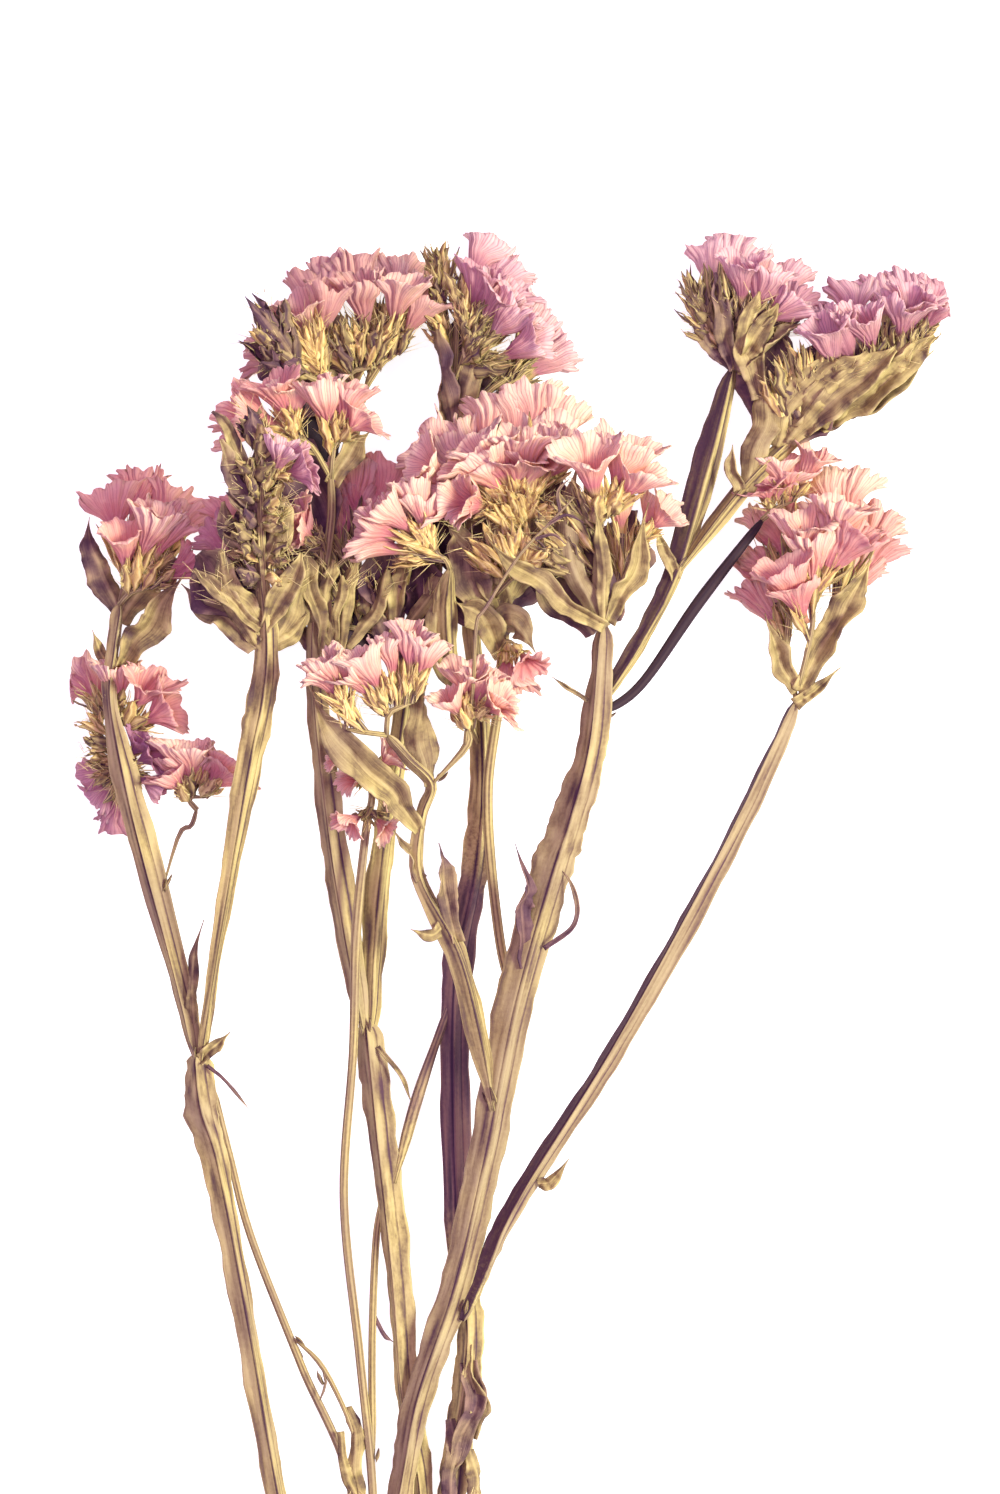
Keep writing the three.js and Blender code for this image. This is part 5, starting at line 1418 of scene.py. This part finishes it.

# %% [markdown]
# ## Putting one flower together
#
# From the stalk up: a short ribbed foot, husks and straw bracts round it, then the calyx. The
# bracts belong to the stem's piece and the calyx to its comb's own piece, as on the plain model.
# HEADS says how a head differs from the others:
#
# - `tone`: how brown its straw is
# - `straws` and `husks`: how many stand round each flower
# - `inner`: whether a second, inner row of calyxes fills it
# - `shade`: how much deeper its calyxes are, partly painted shade where a head lies in the
#   shadow of others and partly their own colour, and `shades` the same for one comb of it
# - `bare`: the comb and number of each flower that has lost its calyx
# - `crumpled`: whether those flowers' bracts are wide and crumpled

# %% Flowers
FOOT_STEPS = 5
FOOT_SIDES = 10
FOOT_RIBS = 5
FOOT_RADIUS = 0.5 * MM
HAIR_OUT = 0.9 * MM
BRISTLES = 2
YOUNG_TONE = 0.3
OUTER_TURNS = (0.5, 0.1, 0.9, 1.5, 0.35)  # in half turns round the flower, from its side
STRAW_TURNS = (0.5, 0.3, 0.75, 0.6, 0.4)
PLAIN_HEAD = {"tone": 0.15, "straws": 6, "husks": 1, "inner": False, "bare": (), "shade": 0.0,
              "shades": {}, "crumpled": False}
HEADS = {
    "calyxes_broad_head": {"tone": 0.05, "straws": 10, "husks": 0, "inner": True, "shade": -0.3},
    "calyxes_near_right_head": {"tone": 0.1, "straws": 7, "husks": 1, "shade": -0.3},
    "calyxes_front_head": {"tone": 0.12, "straws": 14, "husks": 0, "shade": -0.35},
    "calyxes_front_left_fan": {"tone": 0.05, "straws": 14, "husks": 0, "shade": -0.3},
    "calyxes_right_low_head": {"tone": 0.3, "husks": 0, "inner": True, "shade": 0.3},
    "calyxes_right_high_head": {"tone": 0.6, "husks": 3, "bare": ((0, 0), (0, 1), (2, 0)),
                                "crumpled": True},
    "calyxes_far_right_head": {"tone": 0.45, "husks": 3},
    "calyxes_tall_head": {"tone": 0.5, "husks": 3},
    # its first comb lies in the shadow of the others, and its shade there is painted shade
    "calyxes_arched_head": {"tone": 0.4, "husks": 2, "shades": {0: 0.9}},
    # this head lies under the front heads, and its shade is painted shade
    "calyxes_shaded_head": {"tone": 0.6, "husks": 2, "inner": True, "shade": 0.4},
    "calyxes_middle_head": {"tone": 0.15, "shade": -0.1},
    "calyxes_left_top_head": {"tone": 0.15, "shade": 0.4},
    "calyxes_left_side_shoot": {"tone": 0.3, "inner": True, "shade": 0.2},
    "calyxes_front_spike_dark": {"tone": 0.6, "shade": 0.8},
    "calyxes_left_low_head": {"tone": 0.4, "husks": 1, "shade": 0.4, "shades": {1: 1.3}},
    "calyxes_left_middle_head": {"tone": 0.35, "husks": 1, "shade": 0.3},
    "calyxes_withered_head": {"tone": 0.6, "husks": 1},
}


def foot(weave, line, tone):
    """The short, ribbed stalk under one calyx."""
    def form(u, v):
        rib = math.cos(FOOT_RIBS * TAU * u)
        radius = FOOT_RADIUS * line.size * (0.8 + 0.5 * v) * (1 + 0.12 * rib)
        angle = TAU * u
        place = line.at(line.seat * v * 1.1, radius * math.cos(angle), radius * math.sin(angle))
        # painted light on the ribs and painted shade between them
        return place, 0.5 + 0.5 * rib

    weave.skin(FOOT_SIDES, FOOT_STEPS, form, tone, line.length / STREAK_LENGTH, closed=True,
               reverse=line.looks_up)


def add_hairs(hairs, line, seed, count, low, high):
    """Hairs all round a line, from low to high on it."""
    for index in range(count):
        own = seed * 13 + index
        angle = TAU * draw(own, 22)
        start = mix(low, high, draw(own, 23))
        root = line.at(start, HAIR_OUT * math.cos(angle), HAIR_OUT * math.sin(angle))
        out = line.side * math.cos(angle) + line.front * math.sin(angle)
        way = line.axis + out * (0.5 + 1.1 * draw(own, 24))
        hair(hairs, root, way, (1.8 + 2.6 * draw(own, 25)) * MM)


def dress_flower(straw, hairs, line, seed, head):
    """The bracts and hairs under one calyx."""
    top = line.seat + 0.34 * line.height
    for index in range(head["straws"]):
        own = seed * 7 + index
        end = top * (0.62 + 0.6 * draw(own, 19))
        start = line.length * 0.35 * draw(own, 35)
        angle = math.pi * (0.5 + 0.75 * (index / (head["straws"] - 1) * 2 - 1))
        angle += spread_draw(own, 20, 0.6)
        bract(straw, line, STRAW, start, end, angle, own, head["tone"])
    for index in range(BRISTLES):
        own = seed * 11 + index + 500
        angle = math.pi / 2 + spread_draw(own, 21, 1.6)
        end = line.seat + 0.45 * line.height
        bract(straw, line, BRISTLE, 0.5 * line.seat, end, angle, own)
    for index in range(head["husks"]):
        own = seed * 19 + index + 900
        angle = math.pi * (0.5 + 0.45 * (index - (head["husks"] - 1) / 2))
        angle += spread_draw(own, 36, 0.4)
        end = top * (0.85 + 0.3 * draw(own, 37))
        bract(straw, line, HUSK, 0.0, end, angle, own, head["tone"] + 0.1)
    add_hairs(hairs, line, seed, 10, line.seat * 0.2, line.seat)


def bare_flower(straw, hairs, line, seed, tone, outer=THORN):
    """A flower that has lost its calyx: wider bracts, slightly open."""
    young = tone < YOUNG_TONE
    for index, turn in enumerate(OUTER_TURNS):
        own = seed * 7 + index
        start = line.length * 0.4 * draw(own, 47)
        end = line.length * (0.6 + 0.4 * draw(own, 26))
        angle = math.pi * turn + spread_draw(own, 27, 0.9)
        kind = outer if index else HUSK
        if young and outer is THORN:
            kind = STRAW
        bract(straw, line, kind, start, end, angle, own, tone + spread_draw(own, 48, 0.15))
    for index, turn in enumerate(STRAW_TURNS[:1] if outer is CRUMPLED else STRAW_TURNS):
        own = seed * 23 + index
        start = line.length * 0.4 * draw(own, 49)
        end = line.length * (0.6 + 0.4 * draw(own, 38))
        angle = math.pi * turn + spread_draw(own, 39, 0.8)
        bract(straw, line, STRAW, start, end, angle, own, tone - 0.3)
    add_hairs(hairs, line, seed, 12, line.length * 0.25, line.length * 0.9)


def look_of(head):
    return {**PLAIN_HEAD, **HEADS.get(head, {})}


print("heads with their own look:", len(HEADS))

# %% [markdown]
# ## Dressing every stem
#
# One loop goes through the stems, in the plain model's order, and makes up to four pieces for
# each: its rods, its leaves, its bracts and its hairs. Each piece says which solid it stands for,
# and all of them belong to one rigid body. The tables hold what is particular to one route or
# blade, under its stem's name and its number.

# %% What is particular to one route or blade
BLADE_TONE = 0.42
# tones past 1 are painted shade, for stretches of stem that lie in the shadow of others
ROUTE_TONES = {
    ("stem_centre", 4): ((0.0, 1.2), (1.0, 1.2)),
    ("stem_centre", 3): ((0.0, 0.7), (1.0, 0.7)),
    ("stem_centre", 2): ((0.0, 0.6), (1.0, 0.5)),
    ("stem_centre", 1): ((0.0, 0.9), (0.3, 0.25), (1.0, 0.2)),
    ("stem_back", 0): ((0.0, 0.5), (0.45, 0.55), (0.52, 1.1), (0.63, 1.1), (0.7, 0.5)),
    ("stem_left", 2): ((0.0, 0.5), (1.0, 0.5)),
    ("stem_middle", 3): ((0.0, 0.6), (0.5, 1.0)),
    ("stem_middle", 0): ((0.0, 0.7), (0.6, 0.72), (0.85, 0.4)),
    ("stem_back", 1): ((0.0, 0.8), (1.0, 0.7)),
}
ROUTE_DROOPS = {("stem_left", 2): 0.1, ("stem_centre", 1): 0.85, ("stem_centre", 2): 0.8}
# how light the left half of a branch is painted, as a share: painted shade away from the key lamp
SHADED_LEFT_HALVES = {("stem_centre", 1): 0.15, ("stem_centre", 2): 0.3}
BLADE_TONES = {("stem_left", 0): 0.68, ("stem_left", 1): 0.6, ("stem_back", 2): 0.9,
               ("stem_middle", 1): 0.85, ("stem_middle", 2): 0.7, ("stem_middle", 3): 0.8,
               ("stem_centre", 19): 1.0, ("stem_centre", 14): 0.85, ("stem_left", 7): 0.8,
               ("stem_left", 2): 0.75}
print("routes with tones of their own:", len(ROUTE_TONES), "and blades:", len(BLADE_TONES))

# %% A stem's routes and leaves
SEEDS_PER_STEM = 10000
FILLING_SEED = 500
FILLED_TONE = 0.8  # filling leaves from this tone on have no hairs at their ends
HAIRS_PER_LEAF = 9


def add_node_scales(straw, route, seed):
    """Where a branch leaves its stem, two small brown scales clasp it."""
    line = Line(point_of(route[0]), point_of(route[1]))
    for index in range(2):
        own = seed * 29 + index
        angle = TAU * draw(own, 40)
        bract(straw, line, SCALE, 1.0 * MM, (3.0 + 1.5 * draw(own, 41)) * MM, angle, own)


def grow_routes(rods, straw, name, seed):
    """The stem, its branches and the scales at their feet."""
    for index, route in enumerate(STEMS[name]["routes"]):
        key = (name, index)
        rod(rods, route, seed + index, ROUTE_TONES.get(key, STEM_TONE), index > 0,
            ROUTE_DROOPS.get(key, WING_DROOP), SHADED_LEFT_HALVES.get(key, 1.0))
        if index:
            add_node_scales(straw, route, seed + index)


def grow_leaves(leaves, hairs, name, seed):
    """The stem's own leaves, then those that fill its heads, which end in hairs."""
    for index, route in enumerate(STEMS[name]["blades"]):
        leaf(leaves, route, seed + index, BLADE_TONES.get((name, index), BLADE_TONE))
    for index, (owner, tone, route) in enumerate(FILLING_LEAVES):
        if owner != name:
            continue
        own = seed + index + FILLING_SEED
        leaf(leaves, route, own, tone, blunt=True)
        if tone < FILLED_TONE:
            line = Line(point_of(route[-2]), point_of(route[-1]))
            add_hairs(hairs, line, own, HAIRS_PER_LEAF, 0.4 * line.length, line.length)


filling = [sum(owner == name for owner, _, _ in FILLING_LEAVES) for name in STEMS]
print("filling leaves of each stem:", filling)

# %% A stem's combs
SEEDS_PER_COMB = 100
RACHIS_SEED = 50
RACHIS_WIDTH = 1.0
BARE_TONE, BARE_SPREAD = 0.55, 0.2


def rachis_route(comb):
    return [[*place, RACHIS_WIDTH] for place in comb["stalk"]]


def shares(comb, extra=0):
    count = comb["count"] + extra
    return [index / (count - 1) for index in range(count)]


def flowering_combs(name):
    """A stem's combs with flowers: each one's head, its number in the head, and itself."""
    return [(head, row, comb) for head, combs in STEMS[name]["heads"].items()
            for row, comb in enumerate(combs)]


def grow_comb(rods, straw, hairs, comb, seed, look, row):
    """A comb's stalk, and what stands under each of its calyxes or in place of it."""
    rod(rods, rachis_route(comb), seed + RACHIS_SEED)
    for index, share in enumerate(shares(comb)):
        own = seed + index
        line = flower_line(comb, share, own)
        foot(rods, line, look["tone"] + 0.1)
        if (row, index) in look["bare"]:
            outer = CRUMPLED if look["crumpled"] else THORN
            bare_flower(straw, hairs, line, own, look["tone"], outer)
        else:
            dress_flower(straw, hairs, line, own, look)


def grow_bare_comb(rods, straw, hairs, comb, seed):
    """A comb without calyxes, which has two flowers more than the plain model's wedge."""
    rod(rods, rachis_route(comb), seed + RACHIS_SEED)
    for index, share in enumerate(shares(comb, 2)):
        own = seed + index
        line = flower_line(comb, share, own)
        own_tone = comb.get("tone", BARE_TONE) + spread_draw(own, 51, BARE_SPREAD)
        outer = CRUMPLED if comb.get("crumpled") else THORN
        bare_flower(straw, hairs, line, own, own_tone, outer)


print("combs with flowers:", sum(len(flowering_combs(name)) for name in STEMS))
print("solids of calyxes:", sum(name.startswith("calyxes") for name in frame["nodes"]))

# %% The stems' pieces
def finish_piece(piece, node):
    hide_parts(node)
    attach(piece, "root")
    return piece


def dress_stem(name, seed):
    rods, leaves, straw, hairs = Weave(), Weave(), Weave(), Weave()
    grow_routes(rods, straw, name, seed)
    grow_leaves(leaves, hairs, name, seed)
    flowering = flowering_combs(name)
    for number, (head, row, comb) in enumerate(flowering):
        own = seed + SEEDS_PER_COMB * number
        grow_comb(rods, straw, hairs, comb, own, look_of(head), row)
    for number, comb in enumerate(STEMS[name]["bracts"], len(flowering)):
        grow_bare_comb(rods, straw, hairs, comb, seed + SEEDS_PER_COMB * number)
    made = []
    for weave, kind, finish, wall in ((rods, "rods", STEM_FINISH, None),
                                      (leaves, "leaves", LEAF_FINISH, LEAF_WALL),
                                      (straw, "bracts", BRACT_FINISH, None),
                                      (hairs, "hairs", BRACT_FINISH, None)):
        if len(weave.bm.faces):
            piece = weave.piece(f"{kind}_of_{name}", finish, wall)
            made.append(finish_piece(piece, name))
    return made


for number, name in enumerate(STEMS):
    pieces = dress_stem(name, SEEDS_PER_STEM * number)
    print(name, [f"{piece.name} {len(piece.data.polygons)}" for piece in pieces])

# %% [markdown]
# ## The calyxes of every comb
#
# A second loop makes a piece for every comb of calyxes, with the same seeds as the bracts under
# them, so that both stand on the same lines.

# %% Calyxes of every comb
SLOT_OF_NODE = {row["node"]: row["material_slot"] for row in frame["record"]["subparts"]}
SIDE_SHARE = 0.8
SIDE_LEAST = 1.6 * MM
INNER_SEED = 60
INNER_REACH = 0.74
INNER_SHARE = 0.85


def dress_comb(node, comb, seed, look, row):
    weave = Weave()
    shade = look["shades"].get(row, look["shade"])
    reach = SIDE_SHARE * crest_step(comb) + SIDE_LEAST
    for index, share in enumerate(shares(comb)):
        if (row, index) not in look["bare"]:
            calyx(weave, flower_line(comb, share, seed + index), reach, seed + index, shade)
    for index in range(comb["count"] - 1 if look["inner"] else 0):
        share = (index + 0.5) / (comb["count"] - 1)
        own = seed + index + INNER_SEED
        line = flower_line(comb, share, own, INNER_REACH)
        calyx(weave, line, INNER_SHARE * reach, own, shade)
    slot = SLOT_OF_NODE[node]
    piece = weave.piece(node.replace("calyxes_", "petals_"), CALYX_FINISHES[slot], CALYX_WALL)
    return finish_piece(piece, node)


for number, name in enumerate(STEMS):
    for place, (head, row, comb) in enumerate(flowering_combs(name)):
        seed = SEEDS_PER_STEM * number + SEEDS_PER_COMB * place
        dress_comb(f"{head}_{row + 1}", comb, seed, look_of(head), row)

# %% [markdown]
# ## The surface it lies on
#
# A plain, pale sheet, lit a little from below like a light table, which keeps the shadows on it
# light. It isn't attached to the bunch's body, so it isn't part of the bunch.

# %% Floor
FLOOR_SIZE = 6.0
FLOOR_GLOW = 0.86
FLOOR_COLOUR = colour("c8c6c8")
GLOW_COLOUR = colour("fffdfc")


def make_floor():
    made = Finish("pale_surface")
    sockets = {"Base Color": FLOOR_COLOUR, "Roughness": 0.9,
               "Emission Color": GLOW_COLOUR, "Emission Strength": FLOOR_GLOW}
    material = made.surface(made.node("ShaderNodeBsdfPrincipled", None, sockets))
    bm = bmesh.new()
    bmesh.ops.create_grid(bm, x_segments=1, y_segments=1, size=FLOOR_SIZE / 2)
    mesh = bpy.data.meshes.new("surface")
    bm.to_mesh(mesh)
    bm.free()
    mesh.materials.append(material)
    surface = bpy.data.objects.new("surface", mesh)
    bpy.context.scene.collection.objects.link(surface)
    return surface


print("floor:", make_floor().name)

# %% [markdown]
# ## Light and camera
#
# A large soft lamp at the right models the folds. A weak violet one beside the camera and a pale
# violet sky lift the shadows. The camera looks straight down, from far enough that the high
# flowers aren't drawn larger than the low ones.

# %% Light and camera
VIEW_MIDDLE = Vector((-1.4, 55.4, 15.0)) * MM
VIEW_HEIGHT = 239.0 * MM
CAMERA_DISTANCE = 1.5
SENSOR_HEIGHT = 24.0
CLIP_END = 20.0


def add_lamp(name, place, size, energy, tint):
    lamp = bpy.data.lights.new(name, "AREA")
    lamp.shape = "DISK"
    lamp.size = size
    lamp.energy = energy
    lamp.color = tint
    holder = bpy.data.objects.new(name, lamp)
    holder.location = place
    holder.rotation_euler = (VIEW_MIDDLE - Vector(place)).to_track_quat("-Z", "Y").to_euler()
    bpy.context.scene.collection.objects.link(holder)


def add_sky(tint, strength):
    sky = bpy.data.worlds.new("sky")
    sky.use_nodes = True
    background = sky.node_tree.nodes["Background"]
    background.inputs["Color"].default_value = tint
    background.inputs["Strength"].default_value = strength
    bpy.context.scene.world = sky


def add_camera():
    camera = bpy.data.cameras.new("camera")
    camera.sensor_fit = "VERTICAL"
    camera.sensor_height = SENSOR_HEIGHT
    camera.lens = SENSOR_HEIGHT * CAMERA_DISTANCE / VIEW_HEIGHT
    camera.clip_end = CLIP_END
    holder = bpy.data.objects.new("camera", camera)
    holder.location = VIEW_MIDDLE + Vector((0.0, 0.0, CAMERA_DISTANCE))
    bpy.context.scene.collection.objects.link(holder)
    bpy.context.scene.camera = holder
    return camera


bpy.context.scene.view_settings.view_transform = "Standard"
add_lamp("key", (2.2, 0.25, 2.3), 1.1, 166.0, (0.98, 1.0, 0.85))
add_lamp("fill", (-0.2, 0.3, 2.4), 0.8, 22.0, (0.7, 0.36, 0.95))
add_sky((0.68, 0.49, 0.82, 1.0), 0.84)
print("lens:", round(add_camera().lens), "mm")

# %% [markdown]
# ## Sizes and the last line
#
# The fine bunch has to stay inside the plain model's box, which is printed here.

# %% Sizes
print("plain box:", [[round(part / MM, 1) for part in corner] for corner in plain_box])
